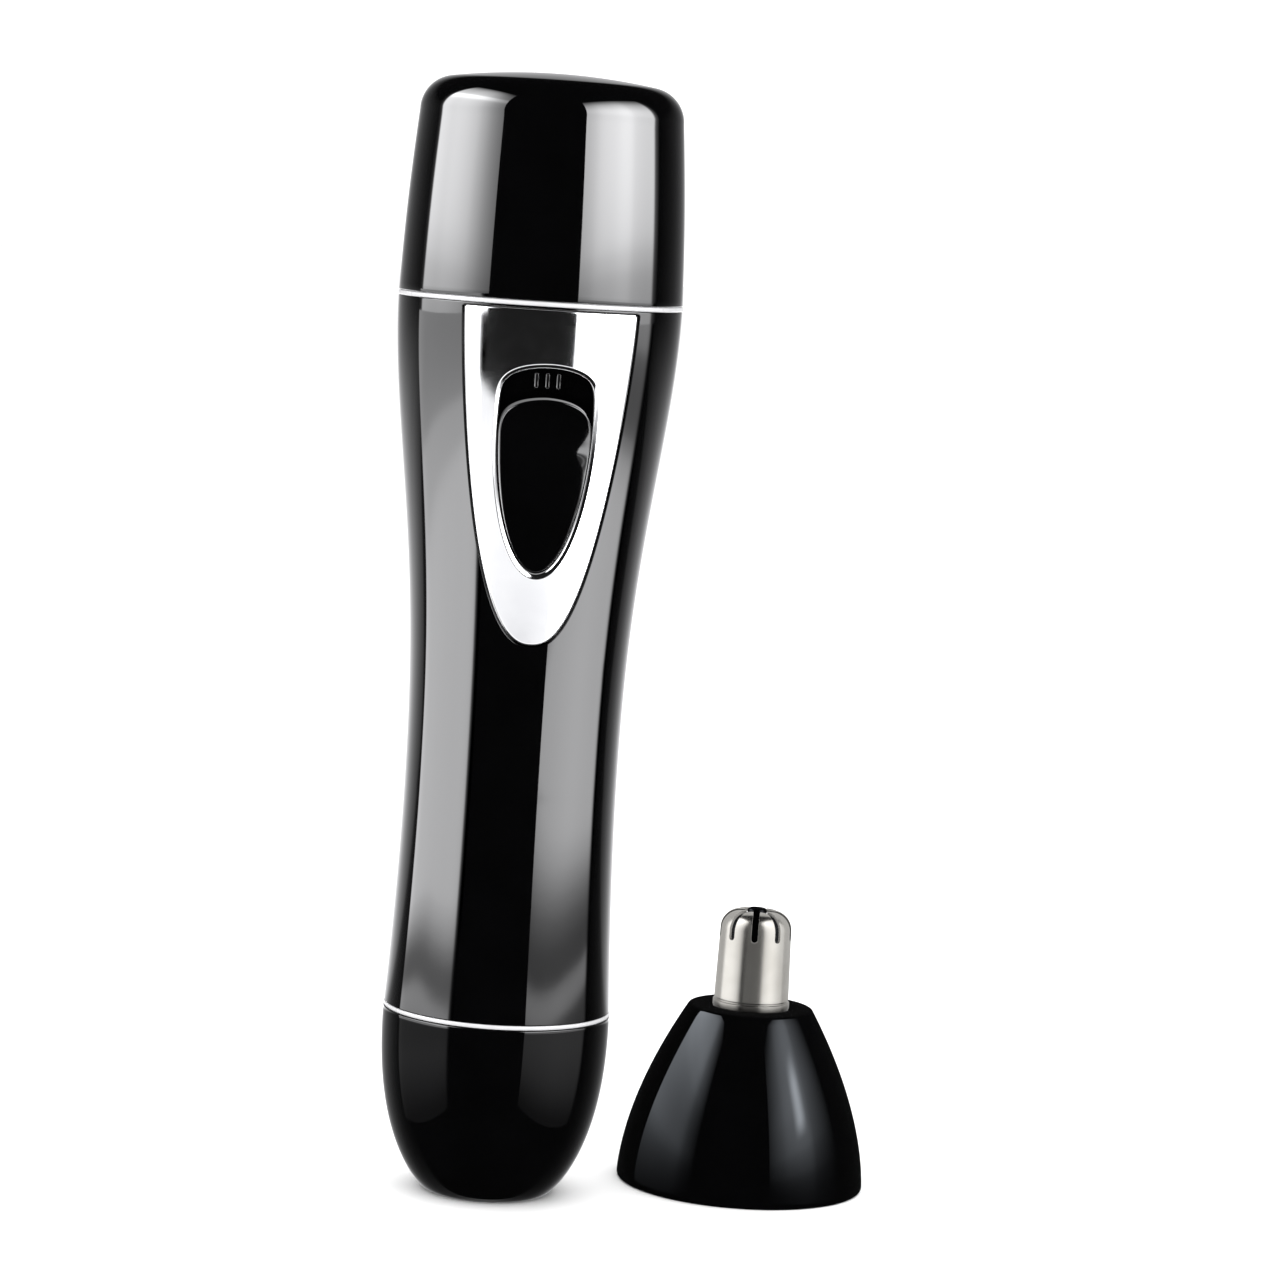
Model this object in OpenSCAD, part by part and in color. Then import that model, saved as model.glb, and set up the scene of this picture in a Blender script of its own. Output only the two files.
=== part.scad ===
// Battery nose hair trimmer: hourglass handle with its travel cap on, and the
// rotary trimmer head standing beside it. Millimetres, +Z up, front plate to -Y.
// Origin: centre of the handle's flat foot.

/* [Handle outline] */
// Radius of the flat foot
foot_r = 7.7; // [7.5:0.1:8]
// Height of the joint between the battery cap and the handle
lower_joint_z = 23.6; // [23.4:0.1:23.8]
// Radius at that joint
lower_joint_r = 14.4; // [14.3:0.1:14.8]
// Height of the waist
waist_z = 52.2; // [48:1:56]
// Radius of the waist
waist_r = 13.5; // [13.45:0.05:13.8]
// Radius at the joint under the travel cap
upper_joint_r = 17.7; // [17.6:0.05:17.9]
// Radius of the travel cap where its shoulder begins
cap_shoulder_r = 16.4; // [16.2:0.1:16.6]

/* [Front plate and switch] */
// Height of the plate's lower tip
plate_tip_z = 71.2; // [70:0.2:73]
// Half width of the plate at its top
plate_half_w = 10.5; // [9.5:0.1:11]
// Half width of the switch window
window_half_w = 5.9; // [5.7:0.1:6.1]
// Travel of the slide button
switch_travel = 3.5; // [2.5:0.1:3.6]

/* [Trimmer head] */
// Where the head stands, across from the handle
head_x = 34; // [34:0.5:50]
// Where the head stands, behind the handle
head_y = 9; // [9:0.5:20]
// Radius of the head's base
head_r = 16; // [15.8:0.1:16.2]
// Radius of the head's flat top
head_top_r = 8; // [7.8:0.1:8.4]
// Radius of the guard tube at its foot
guard_r = 4.86; // [4.8:0.02:4.9]
// Number of slots in the guard's dome
slot_count = 9; // [6:1:10]
// Width of a slot
slot_w = 0.85; // [0.5:0.05:1]

/* [Hidden] */

$fn = 96;
over = 1;               // how far a cutter runs past the face it cuts
fit = 0.04;             // radial clearance of a shaft in its bush
press = 0.01;           // radial clearance of a press fit
seat_gap = 0.05;        // gap round a piece glued or clipped into a seat
joint_gap = 0.1;        // line of daylight at each pull-off joint
wall = 1.6;             // moulded shell thickness

// Battery, AA size
cell_r = 7.25;
cell_z = 6.5;
cell_len = 50.5;
nub_len = 1;
nub_r = 2.75;
sleeve_t = 0.15;

// Battery cap
cap_floor = 2;
cap_rim_z = lower_joint_z - 0.35;
contact_t = 0.4;        // thickness of every contact strip
spigot_r = 11.7;
spigot_z = 13;
spigot_top_z = 33;
spigot_t = 1;
web_h = 1.2;            // web between the spigot and the cell guide
grip_r = 12.5;          // band of the insert that presses into the cap
grip_z = 17;
grip_top_z = 22.6;
seal_z = 27;
seal_r = 11.43;
seal_wire_r = 0.31;
seal_groove_r = 11.1;
seal_groove_h = 0.8;
cell_guide_r = 7.6;

// Handle shell
ring_h = 0.55;
shell_z = lower_joint_z + 0.3;
bore_r = spigot_r + joint_gap;
bore_top_z = 60;
shell_top_z = 112.6;
plate_t = 0.9;
plate_groove = 0.32;
plate_top_z = 112.2;
front_reach = 30;       // a cut this deep reaches past the handle's front

// Neck under the travel cap
deck_z = 108;
deck_bore_r = 14;
bush_seat_r = 4;
bush_z = 114;
bush_top_z = 120.5;
collar_r = 16;
collar_top_z = 117;
neck_r = 9;
neck_h = 8;
neck_top_z = collar_top_z + neck_h;
neck_wall = 1.4;
boss_x = 10.5;
boss_r = 2.2;
boss_pilot_r = 0.85;
boss_joint_z = 100.1;   // where the deck's bosses meet the chassis's

// Travel cap
grip_ring_z = 114.2;
grip_ring_h = 1.6;
grip_ring_depth = 0.5;
cap_joint_z = shell_top_z + 0.05 + ring_h;
cap_rim = cap_joint_z + joint_gap;
cap_bore_r = collar_r + 0.15;
cap_shoulder_z = 135.8;
shoulder_arc = 4.3;
cap_top_z = 141;
cap_dome_r = 80;

// Motor and drive line
shaft_r = 1;
motor_r = 7.3;
motor_z = 62.4;
motor_len = 27.6;
rotor_z = 70;
rotor_h = 14;
coupler_z = 94.5;
coupler_top_z = 106;
spindle_z = 101.2;
spindle_r = 2;          // drive end, which enters the head
spindle_body_r = 2.3;   // bearing part
spindle_step_z = neck_top_z + 0.2;
spindle_top_z = 130.5;
tongue_h = 2.5;
tongue_t = 1.6;
tongue_w = 3.4;
chassis_r = 9.15;
chassis_z = 35;
bulkhead_z = 58;
bulkhead_t = 1.6;
seat_top_z = 92;

// Switch window, measured along the slope of the handle's front
window_mid_z = 98.5;
window_up = 6.75;
window_down = 18.75;
window_round = 5;
button_gap = 0.3;
button_shift = switch_travel + 0.4;
well_floor = 2.9;
well_t = 1;
window_lip = 0.5;
window_clear = 0.65;    // how far the shell's hole stands back from the window
dish_r = 6;
dish_depth = 0.6;
dish_s = 0.1;
rib_x = 1.35;
carriage_y = well_floor + well_t + 0.4;
carriage_t = 1.2;
contact_y = 6.9;

// Head, heights from the floor
head_h = 23.2;
head_wall = 1.5;
socket_r = 9.08;
socket_z = 0.3;
socket_floor_z = 8.3;
socket_t = 1.5;
dog_hole_r = 3.9;
guard_z = 20.9;
guard_flange_r = 6.4;
guard_t = 0.4;
guard_hole_r = 1.6;
guard_tip_r = 4.6;
guard_corner_z = 33.4;
guard_corner_r = 2.4;
guard_top_z = 35.9;
slot_foot_z = 32.2;
slot_turn = -100.5;
spring_z = socket_floor_z + socket_t + 0.1;
spring_r = 4.4;
washer_z = 16.5;
blade_gap = 0.25;
blade_t = 0.45;
blade_z = 30;
blade_turn = 20;
hub_r = 1.7;
hub_tip_r = 1.25;
hub_z = 29.5;
cutter_shaft_z = 14.6;
cutter_shaft_top_z = 31;
dog_r = 3.2;
dog_z = 9;
dog_top_z = 16;
dog_bore_top_z = 12;

// ---- outlines -------------------------------------------------------------

function mix(a, b, t) = a + (b - a) * t;
function ease(t) = t * t * (3 - 2 * t);

// Outer radius of the battery cap: a full, rounded foot
function foot_radius(z) =
  mix(foot_r, lower_joint_r, pow(1 - pow(1 - min(z / lower_joint_z, 1), 2.6), 0.75));

// Outer radius of the handle: flares gently down from the waist, strongly up
function body_radius(z) = z < waist_z
  ? mix(waist_r, lower_joint_r, pow((waist_z - z) / (waist_z - lower_joint_z), 1.7))
  : mix(waist_r, upper_joint_r, ease(pow((z - waist_z) / (shell_top_z - waist_z), 1.38)));

// Outer radius of the travel cap's straight side
function cap_side(z) = mix(upper_joint_r, cap_shoulder_r, (z - cap_rim) / (cap_shoulder_z - cap_rim));

// Outer radius of the head's bell
function head_radius(z) = mix(head_r, head_top_r, pow(z / head_h, 1.73));

function curve(radius, z0, z1, steps) =
  [for (i = [0 : steps]) let (z = mix(z0, z1, i / steps)) [radius(z), z]];
function arc(r, z, radius, a0, a1, steps) =
  [for (i = [0 : steps]) let (a = mix(a0, a1, i / steps)) [r + radius * cos(a), z + radius * sin(a)]];
function backwards(points) = [for (i = [len(points) - 1 : -1 : 0]) points[i]];

// The travel cap's shoulder and dome, drawn in by an inset
function cap_crown(inset) =
  let (
    dome_r = cap_dome_r - inset,
    edge_r = cap_shoulder_r - shoulder_arc,
    dome_z = cap_top_z - cap_dome_r,
    tilt = asin(edge_r / (cap_dome_r - shoulder_arc))
  )
  concat(
    arc(edge_r, dome_z + (cap_dome_r - shoulder_arc) * cos(tilt), shoulder_arc - inset, 0, 90 - tilt, 8),
    [for (i = [4 : -1 : 0]) let (a = tilt * i / 5) [dome_r * sin(a), dome_z + dome_r * cos(a)]]
  );

// Half width of a shield outline, t from its widest line (0) to its end (1)
function taper(t, n) = sqrt(1 - pow(min(max(t, 0), 1), n));

// Half width of the switch window at a height along the front's slope
function window_half(s) = window_half_w
  * (s < 0 ? taper(-s / window_down, 2) : taper(s / window_up, window_round));

// Half width of the button, which keeps its gap all the way up its travel
function button_half(s) = max(0, min(
  s < 0 ? (window_half_w - button_gap) * taper(-s / (window_down - button_gap), 2) : window_half_w,
  window_half(s + button_shift) - button_gap));

// A closed outline that is the same left and right of the middle line
function both_sides(half, low, high, steps) =
  let (side = [for (i = [1 : steps - 1])
    let (a = mix(-90, 90, i / steps), s = a < 0 ? low * -sin(a) : high * sin(a)) [half(s), s]])
  concat([[0, low]], side, [[0, high]], backwards([for (p = side) [-p[0], p[1]]]));

function window_outline(grow) = both_sides(
  function (s) window_half(s < 0 ? s * window_down / (window_down + grow)
    : s * window_up / (window_up + grow)) + grow * (s < 0 ? taper(-s / (window_down + grow), 2)
    : taper(s / (window_up + grow), window_round)),
  -window_down - grow, window_up + grow, 36);
button_outline =
  both_sides(function (s) button_half(s), button_gap - window_down, window_up - button_shift, 36);

// The plate's outline: nearly straight sides that close to a rounded tip
function plate_outline(grow) =
  let (
    tip = plate_tip_z - grow,
    run = plate_top_z - tip,
    side = [for (i = [1 : 16]) let (t = cos(90 * i / 16))
      [(plate_half_w + grow) * pow(1 - pow(t, 1.36), 0.42), mix(plate_top_z, tip, t)]]
  )
  concat([[0, tip]], side, [[plate_half_w + grow, plate_top_z + over],
    [-plate_half_w - grow, plate_top_z + over]], backwards([for (p = side) [-p[0], p[1]]]));

// ---- shared shapes --------------------------------------------------------

module turned(points) {
  rotate_extrude() polygon(points);
}

module ring(r_out, r_in, z0, z1) {
  difference() {
    translate([0, 0, z0]) cylinder(h = z1 - z0, r = r_out);
    translate([0, 0, z0 - over]) cylinder(h = z1 - z0 + 2 * over, r = r_in);
  }
}

module rod(r, z0, z1) {
  translate([0, 0, z0]) cylinder(h = z1 - z0, r = r);
}

module block(x, y, z0, z1) {
  translate([-x / 2, -y / 2, z0]) cube([x, y, z1 - z0]);
}

// A straight-sided shape pressed into the handle's front, seen from the front
module front_cut(points, y0, y1) {
  translate([0, y1, 0]) rotate([90, 0, 0]) linear_extrude(height = y1 - y0) polygon(points);
}

// The slope of the handle's front at the switch: local z runs up it, y into it
face_low_z = window_mid_z - window_down;
face_high_z = window_mid_z + window_up;
face_tilt = atan((body_radius(face_high_z) - body_radius(face_low_z)) / (face_high_z - face_low_z));

module on_face() {
  translate([0, -body_radius(window_mid_z), window_mid_z]) rotate([face_tilt, 0, 0]) children();
}

// A round wire wound along a path: radius and height follow the turn
module coil(radius, height, turns, wire_r) {
  sides = 6;
  steps = ceil(turns * 20);
  points = [for (i = [0 : steps]) let (u = i / steps, a = 360 * turns * u, r = radius(u), z = height(u))
    for (k = [0 : sides - 1]) let (b = 360 * k / sides)
      [(r + wire_r * cos(b)) * cos(a), (r + wire_r * cos(b)) * sin(a), z + wire_r * sin(b)]];
  walls = [for (i = [0 : steps - 1], k = [0 : sides - 1])
    let (a = i * sides + k, b = i * sides + (k + 1) % sides)
      each [[a, b, b + sides], [a, b + sides, a + sides]]];
  first = [for (k = [1 : sides - 2]) [0, k + 1, k]];
  last = [for (k = [1 : sides - 2]) [steps * sides, steps * sides + k, steps * sides + k + 1]];
  polyhedron(points = points, faces = concat([for (f = walls) [f[0], f[2], f[1]]],
    [for (f = first) [f[0], f[2], f[1]]], [for (f = last) [f[0], f[2], f[1]]]));
}

// ---- battery cap ----------------------------------------------------------

module bottom_cap() color("#101012") {
  turned(concat([[0, 0]], curve(function (z) foot_radius(z), 0, cap_rim_z, 14),
    backwards(curve(function (z) foot_radius(z) - wall, cap_floor, cap_rim_z, 12)), [[0, cap_floor]]));
}

module cap_insert() color("#26272a") {
  guide_z = cap_floor + 4;
  ring(cell_guide_r + spigot_t, cell_guide_r, guide_z, spigot_top_z);
  difference() {
    ring(spigot_r, spigot_r - spigot_t, spigot_z, spigot_top_z);
    ring(spigot_r + over, seal_groove_r, seal_z - seal_groove_h / 2, seal_z + seal_groove_h / 2);
  }
  ring(spigot_r - spigot_t / 2, cell_guide_r + spigot_t / 2, spigot_z, spigot_z + web_h);
  ring(grip_r, spigot_r - spigot_t / 2, grip_z, grip_top_z);
}

module seal_ring() color("#1a1a1a") {
  rotate_extrude() translate([seal_r, seal_z]) circle(r = seal_wire_r, $fn = 24);
}

module spring_plate() color("#c9cbd0") {
  rod(6.5, cap_floor, cap_floor + contact_t);
}

module battery_spring() color("#b8bac0") {
  wire = 0.35;
  foot_coil_r = 5.4;
  top_coil_r = 2.6;
  low = cap_floor + contact_t + wire;
  high = cell_z - 0.2 - wire;
  coil(function (u) mix(foot_coil_r, top_coil_r, u), function (u) mix(low, high, ease(u)), 3.5, wire);
}

// ---- battery --------------------------------------------------------------

module battery_cell() color("#b9bcc1") {
  can_top_z = cell_z + cell_len - nub_len;
  rod(cell_r - sleeve_t, cell_z, can_top_z);
  rod(nub_r, can_top_z - press, cell_z + cell_len);
}

module battery_sleeve() color("#2f3e57") {
  ring(cell_r, cell_r - sleeve_t, cell_z + 0.6, cell_z + cell_len - nub_len - 0.4);
}

// ---- handle ---------------------------------------------------------------

module body_shell() color("#0c0c0e") {
  inside = function (z) body_radius(z) - wall;
  difference() {
    turned(concat(curve(function (z) body_radius(z), shell_z, shell_top_z, 26),
      backwards(curve(inside, bore_top_z, shell_top_z, 12)), [[bore_r, bore_top_z], [bore_r, shell_z]]));
    intersection() {
      front_cut(plate_outline(plate_groove), -front_reach, 0);
      plate_layer(over, plate_t + seat_gap, seat_gap);
    }
    on_face() front_cut(window_outline(window_clear), -over, 6);
    plate_pegs(boss_pilot_r);
  }
}

// The layer of the handle's front that the plate fills, from out above the surface to depth below
module plate_layer(out, depth, rise) {
  low = plate_tip_z - 2;
  turned(concat(curve(function (z) body_radius(z) + out, low, plate_top_z + rise, 12),
    backwards(curve(function (z) body_radius(z) - depth, low, plate_top_z + rise, 12))));
}

// Heat-stake pegs that hold the front plate, through the shell's wall
module plate_pegs(r) {
  peg_len = 1.5;
  for (p = [[0, 75.5], [-8, 106.5], [8, 106.5]]) {
    front_y = sqrt(pow(body_radius(p[1]), 2) - p[0] * p[0]);
    translate([p[0], plate_t - 0.1 - front_y, p[1]]) rotate([-90, 0, 0])
      cylinder(h = peg_len, r = r, $fn = 24);
  }
}

module front_plate() color("#dfe1e4") {
  lip_depth = 0.3;
  difference() {
    union() {
      intersection() {
        front_cut(plate_outline(0), -front_reach, 0);
        plate_layer(0, plate_t, 0);
      }
      plate_pegs(boss_pilot_r - seat_gap);
    }
    on_face() front_cut(window_outline(0), -over, 6);
    on_face() front_cut(window_outline(window_lip), -over, lip_depth);
  }
}

module switch_well() color("#141416") {
  stem_slot = [4, 9, 11.2];
  intersection() {
    on_face() difference() {
      front_cut(window_outline(window_clear - seat_gap), 0, well_floor + well_t);
      front_cut(window_outline(0), -over, well_floor);
      translate([-stem_slot[0] / 2, 0, -9]) cube(stem_slot);
    }
    turned(concat([[0, plate_tip_z - 2]],
      curve(function (z) body_radius(z) - plate_t - seat_gap, plate_tip_z - 2, plate_top_z, 12),
      [[0, plate_top_z]]));
  }
  on_face() for (x = [-rib_x, 0, rib_x])
    translate([x - 0.2, well_floor - 0.5, 4]) cube([0.4, 0.6, 1.7]);
}

module lower_trim_ring() color("#d7d9dc") {
  ring(lower_joint_r + 0.03, bore_r + 0.2, shell_z - ring_h, shell_z);
}

module upper_trim_ring() color("#d7d9dc") {
  ring(upper_joint_r + 0.04, collar_r + seat_gap, cap_joint_z - ring_h, cap_joint_z);
}

module neck_deck() color("#18181a") {
  hole_r = spindle_body_r + 0.4;
  seat_z = bush_z - 1;
  seat_top_z = bush_top_z + 0.5;
  difference() {
    union() {
      rod(collar_r - 0.2, deck_z, shell_top_z);
      rod(collar_r, shell_top_z - press, collar_top_z);
      rod(neck_r, collar_top_z - press, neck_top_z);
    }
    rod(deck_bore_r, deck_z - over, collar_top_z - wall);
    rod(neck_r - neck_wall, collar_top_z, neck_top_z - neck_wall);
    rod(bush_seat_r, seat_z, bush_top_z);
    rod(hole_r, seat_z, neck_top_z + over);
  }
  ring(bush_seat_r + neck_wall, bush_seat_r, seat_z, seat_top_z);
  ring(bush_seat_r + 0.2, hole_r, bush_top_z + 0.1, seat_top_z);
  for (side = [-1, 1])
    translate([side * boss_x, 0, 0])
      ring(boss_r, boss_pilot_r, boss_joint_z + 0.1, collar_top_z - wall + 0.2);
}

module neck_bush() color("#b98a4a") {
  ring(bush_seat_r - press, spindle_body_r + fit, bush_z, bush_top_z);
}

module chassis() color("#e4e2da") {
  boss_z = 88;
  boss_top_z = boss_joint_z - 0.1;
  rib_z = 40;
  screw_seat_z = 97;
  difference() {
    union() {
      rod(chassis_r, chassis_z, seat_top_z);
      for (a = [45 : 90 : 315]) rotate([0, 0, a]) translate([8, -0.6, rib_z]) cube([3.6, 1.2, 16]);
      for (side = [-1, 1]) {
        translate([side * boss_x, 0, 0]) rod(boss_r, boss_z, boss_top_z);
        translate([side * 9.6 - 1, -1.5, boss_z]) cube([2, 3, 8]);
      }
      intersection() {
        on_face() translate([-5, contact_y + contact_t, -12.5]) cube([10, 1.2, 17]);
        rod(14, 86, 103);
      }
    }
    rod(cell_guide_r, chassis_z - over, bulkhead_z);
    rod(motor_r + 0.65, bulkhead_z + bulkhead_t, seat_top_z + over);
    rod(1.2, bulkhead_z - over, bulkhead_z + bulkhead_t + over);
    for (side = [-1, 1]) translate([side * boss_x, 0, 0]) {
      rod(1.15, boss_z - over, boss_top_z + over);
      rod(2.1, boss_z - over, screw_seat_z);
    }
  }
}

module chassis_screws() color("#a9adb3") {
  head_z = 95.4;
  head_top_z = 96.95;
  slot_d = 0.5;
  for (side = [-1, 1]) translate([side * boss_x, 0, 0]) {
    difference() {
      rod(1.9, head_z, head_top_z);
      block(4, 0.5, head_z - over, head_z + slot_d);
      block(0.5, 4, head_z - over, head_z + slot_d);
    }
    rod(0.8, head_top_z - press, 105.5);
  }
}

module positive_contact() color("#c79a3f") {
  rod(3.2, bulkhead_z - 0.6, bulkhead_z - 0.2);
  rod(1.1, bulkhead_z - 0.3, bulkhead_z + 2);
}

module negative_strip() color("#c79a3f") {
  translate([-1.5, -chassis_r - contact_t - 0.15, chassis_z + 1]) cube([3, contact_t, 52]);
}

module switch_contacts() color("#c79a3f") {
  on_face() for (s = [-5.2, 0.2])
    translate([-2.5, contact_y, s]) cube([5, contact_t, 3.2]);
}

module motor_can() color("#b4b8bd") {
  can_t = 0.5;
  nose_r = 3;
  top_z = motor_z + motor_len;
  difference() {
    union() {
      rod(motor_r, motor_z + 1, top_z);
      rod(nose_r, top_z - press, top_z + 1.2);
    }
    rod(motor_r - can_t, motor_z, top_z - 0.8);
    rod(shaft_r + fit, motor_z, top_z + nose_r);
  }
}

module motor_magnets() color("#4b4d52") {
  low = rotor_z - 1;
  high = rotor_z + rotor_h + 1;
  difference() {
    ring(motor_r - 0.52, 5.2, low, high);
    block(4, 20, low - over, high + over);
  }
}

module motor_end_cap() color("#eceae4") {
  difference() {
    union() {
      rod(motor_r, motor_z, motor_z + 0.98);
      rod(motor_r - 0.52, motor_z + 0.9, motor_z + 3);
    }
    rod(shaft_r + fit, motor_z + 0.4, motor_z + 4);
  }
}

module motor_terminals() color("#c79a3f") {
  for (side = [-1, 1]) translate([side * 4.5, 0, 0]) block(1.8, contact_t, motor_z - 2.2, motor_z);
}

module motor_cushion() color("#1d1d1f") {
  top_z = motor_z + motor_len;
  ring(motor_r + 0.6, motor_r + 0.03, top_z - 6, top_z);
  ring(motor_r + 0.6, 5, top_z + 0.02, top_z + 0.9);
}

// ---- travel cap -----------------------------------------------------------

module travel_cap() color("#0c0c0e") {
  inner_z = 118.4;
  inner = concat([[cap_bore_r, cap_rim], [cap_bore_r, inner_z]],
    [[cap_side(inner_z + 1) - wall, inner_z + 1]], cap_crown(wall), [[0, cap_top_z - wall]]);
  difference() {
    turned(concat([[cap_side(cap_rim), cap_rim]], cap_crown(0), [[0, cap_top_z]], backwards(inner)));
    ring(cap_bore_r + grip_ring_depth, collar_r - over, grip_ring_z, grip_ring_z + grip_ring_h);
  }
}

module cap_grip_ring() color("#2a2a2c") {
  slack = 0.02;
  ring(cap_bore_r + grip_ring_depth - press, collar_r + 0.06,
    grip_ring_z + slack, grip_ring_z + grip_ring_h - slack);
}

// ---- switch ---------------------------------------------------------------

module switch_button() color("#0a0a0b") {
  crown_r = 45;
  crown_y = 0.25;
  button_t = 2.1;
  on_face() {
    difference() {
      intersection() {
        front_cut(button_outline, -0.2, button_t);
        translate([0, crown_r + crown_y, -window_down]) cylinder(h = window_down + window_up, r = crown_r);
      }
      translate([0, crown_y + dish_depth - dish_r, dish_s]) sphere(r = dish_r);
    }
    translate([-1.7, button_t - 0.1, -7.2]) cube([3.4, carriage_y - press - button_t + 0.1, 5.4]);
  }
}

module switch_carriage() color("#d9d6cc") {
  on_face() translate([-4, carriage_y, -8.2]) cube([8, carriage_t, 8.4]);
}

module switch_wiper() color("#c79a3f") {
  on_face() translate([-2, carriage_y + carriage_t, -7]) cube([4, 0.5, 6.4]);
}

// ---- drive ----------------------------------------------------------------

module motor_shaft() color("#c4c8cc") {
  rod(shaft_r, motor_z + 0.5, spindle_z - 1.7);
}

module motor_rotor() color("#8a5a2c") {
  slot = [3, 1.2, rotor_h + 2];
  difference() {
    union() {
      rod(4.6, rotor_z, rotor_z + rotor_h);
      rod(2.4, rotor_z - 3, rotor_z + 0.1);
    }
    rod(shaft_r + press, rotor_z - 10, rotor_z + rotor_h + over);
    for (a = [0 : 120 : 240]) rotate([0, 0, a]) translate([slot[0], -slot[1] / 2, rotor_z - 1]) cube(slot);
  }
}

module shaft_coupler() color("#e4e2da") {
  difference() {
    rod(3.2, coupler_z, coupler_top_z);
    rod(shaft_r + press, coupler_z - over, spindle_z - 1.5);
    rod(spindle_body_r + press, spindle_z - 0.2, coupler_top_z + over);
  }
}

module drive_spindle() color("#9da1a6") {
  tongue_z = spindle_top_z - tongue_h;
  rod(spindle_body_r, spindle_z, spindle_step_z);
  rod(spindle_r, spindle_step_z - press, tongue_z);
  block(tongue_t, tongue_w, tongue_z - press, spindle_top_z);
}

// ---- trimmer head ---------------------------------------------------------

module at_head() {
  translate([head_x, head_y, 0]) children();
}

module head_shell() color("#101013") {
  at_head() difference() {
    turned(concat([[head_r - head_wall, 0]], curve(function (z) head_radius(z), 0, head_h, 18),
      [[0, head_h], [0, head_h - head_wall]],
      backwards(curve(function (z) head_radius(z) - head_wall, 0, head_h - head_wall, 12))));
    rod(guard_r + 0.14, head_h - head_wall - over, head_h + over);
  }
}

module head_socket() color("#232326") {
  top_z = socket_floor_z + socket_t;
  flange_r = head_radius(top_z) - head_wall - seat_gap;
  at_head() difference() {
    union() {
      rod(socket_r + socket_t, socket_z, socket_floor_z + 0.1);
      rod(flange_r, socket_floor_z, top_z);
    }
    rod(socket_r, socket_z - over, socket_floor_z);
    rod(dog_hole_r, socket_floor_z - over, top_z + over);
  }
}

// Guard tube: a thin steel thimble with a flange inside and a slotted dome
module guard_tube() color("#c3c6ca") {
  inner_r = guard_corner_r - guard_t;
  corner_x = guard_tip_r - guard_corner_r;
  flange_top_z = guard_z + 0.75;
  bead = 0.1;
  groove = 0.08;
  slot_in = 2.3;
  slot_out = 4;
  at_head() difference() {
    turned(concat(
      [[guard_r - guard_t, guard_z], [guard_flange_r, guard_z], [guard_flange_r, flange_top_z],
       [guard_r, flange_top_z], [guard_r, head_h],
       [guard_r + bead, head_h + 0.05], [guard_r + bead, head_h + 0.75],
       [guard_r - groove, head_h + 0.85], [guard_r - groove, head_h + 1.05], [guard_r, head_h + 1.15]],
      arc(corner_x, guard_corner_z, guard_corner_r, 0, 84, 8),
      [[0, guard_top_z], [0, guard_top_z - guard_t]],
      backwards(arc(corner_x, guard_corner_z, inner_r, 0, 84, 6))));
    rod(guard_hole_r, guard_corner_z, guard_top_z + over);
    for (i = [0 : slot_count - 1]) rotate([0, 0, slot_turn + i * 360 / slot_count])
      translate([slot_in, 0, slot_foot_z + slot_w / 2]) {
        translate([0, -slot_w / 2, 0]) cube([slot_out, slot_w, 6]);
        rotate([0, 90, 0]) cylinder(h = slot_out, r = slot_w / 2, $fn = 24);
      }
  }
}

module tube_retainer() color("#3a3b3e") {
  at_head() ring(7.6, 4.65, guard_z - 1.5, guard_z - 0.05);
}

module cutter_bush() color("#b98a4a") {
  step_z = guard_z - 0.05;
  at_head() difference() {
    union() {
      rod(4.3, step_z, 25.5);
      rod(4.6, step_z - 1.35, step_z + press);
    }
    rod(shaft_r + fit, step_z - 2, 26);
  }
}

module cutter_spring() color("#b8bac0") {
  wire = 0.25;
  low = spring_z + wire;
  high = washer_z - wire - 0.02;
  at_head() coil(function (u) spring_r, function (u) mix(low, high, u), 5, wire);
}

module thrust_washer() color("#e8e4d8") {
  at_head() ring(spring_r + 0.5, shaft_r + fit, washer_z, washer_z + 0.6);
}

// ---- rotary cutter --------------------------------------------------------

module cutter_blade() color("#d0d3d6") {
  reach = guard_tip_r - guard_t - blade_gap;
  corner = guard_corner_r - guard_t - blade_gap;
  side = concat([[guard_hole_r, blade_z], [reach, blade_z]],
    arc(reach - corner, guard_corner_z, corner, 0, 90, 6), [[guard_hole_r, guard_corner_z + corner]]);
  at_head() difference() {
    union() for (a = [0 : 90 : 270]) rotate([0, 0, a + blade_turn])
      rotate([90, 0, 0]) translate([0, 0, -blade_t / 2]) linear_extrude(height = blade_t) polygon(side);
    rod(hub_r + press, blade_z - over, guard_top_z + over);
  }
}

module cutter_hub() color("#151517") {
  at_head() difference() {
    union() {
      rod(hub_r, hub_z, guard_corner_z + 1.75);
      rod(hub_tip_r, guard_corner_z + 1.6, guard_top_z + 0.2);
    }
    rod(shaft_r + press, hub_z - over, cutter_shaft_top_z + 0.1);
  }
}

module cutter_shaft() color("#c4c8cc") {
  collar_z = washer_z + 0.7;
  at_head() {
    rod(shaft_r, cutter_shaft_z, cutter_shaft_top_z);
    rod(2.2, collar_z, collar_z + 0.8);
  }
}

module drive_dog() color("#e4e2da") {
  at_head() difference() {
    rod(dog_r, dog_z, dog_top_z);
    rod(spindle_r + 0.1, dog_z - over, dog_bore_top_z);
    block(tongue_t + 0.4, 4.2, dog_bore_top_z - 0.1, dog_bore_top_z + 2);
    rod(shaft_r + press, cutter_shaft_z - 0.1, dog_top_z + over);
  }
}

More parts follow.
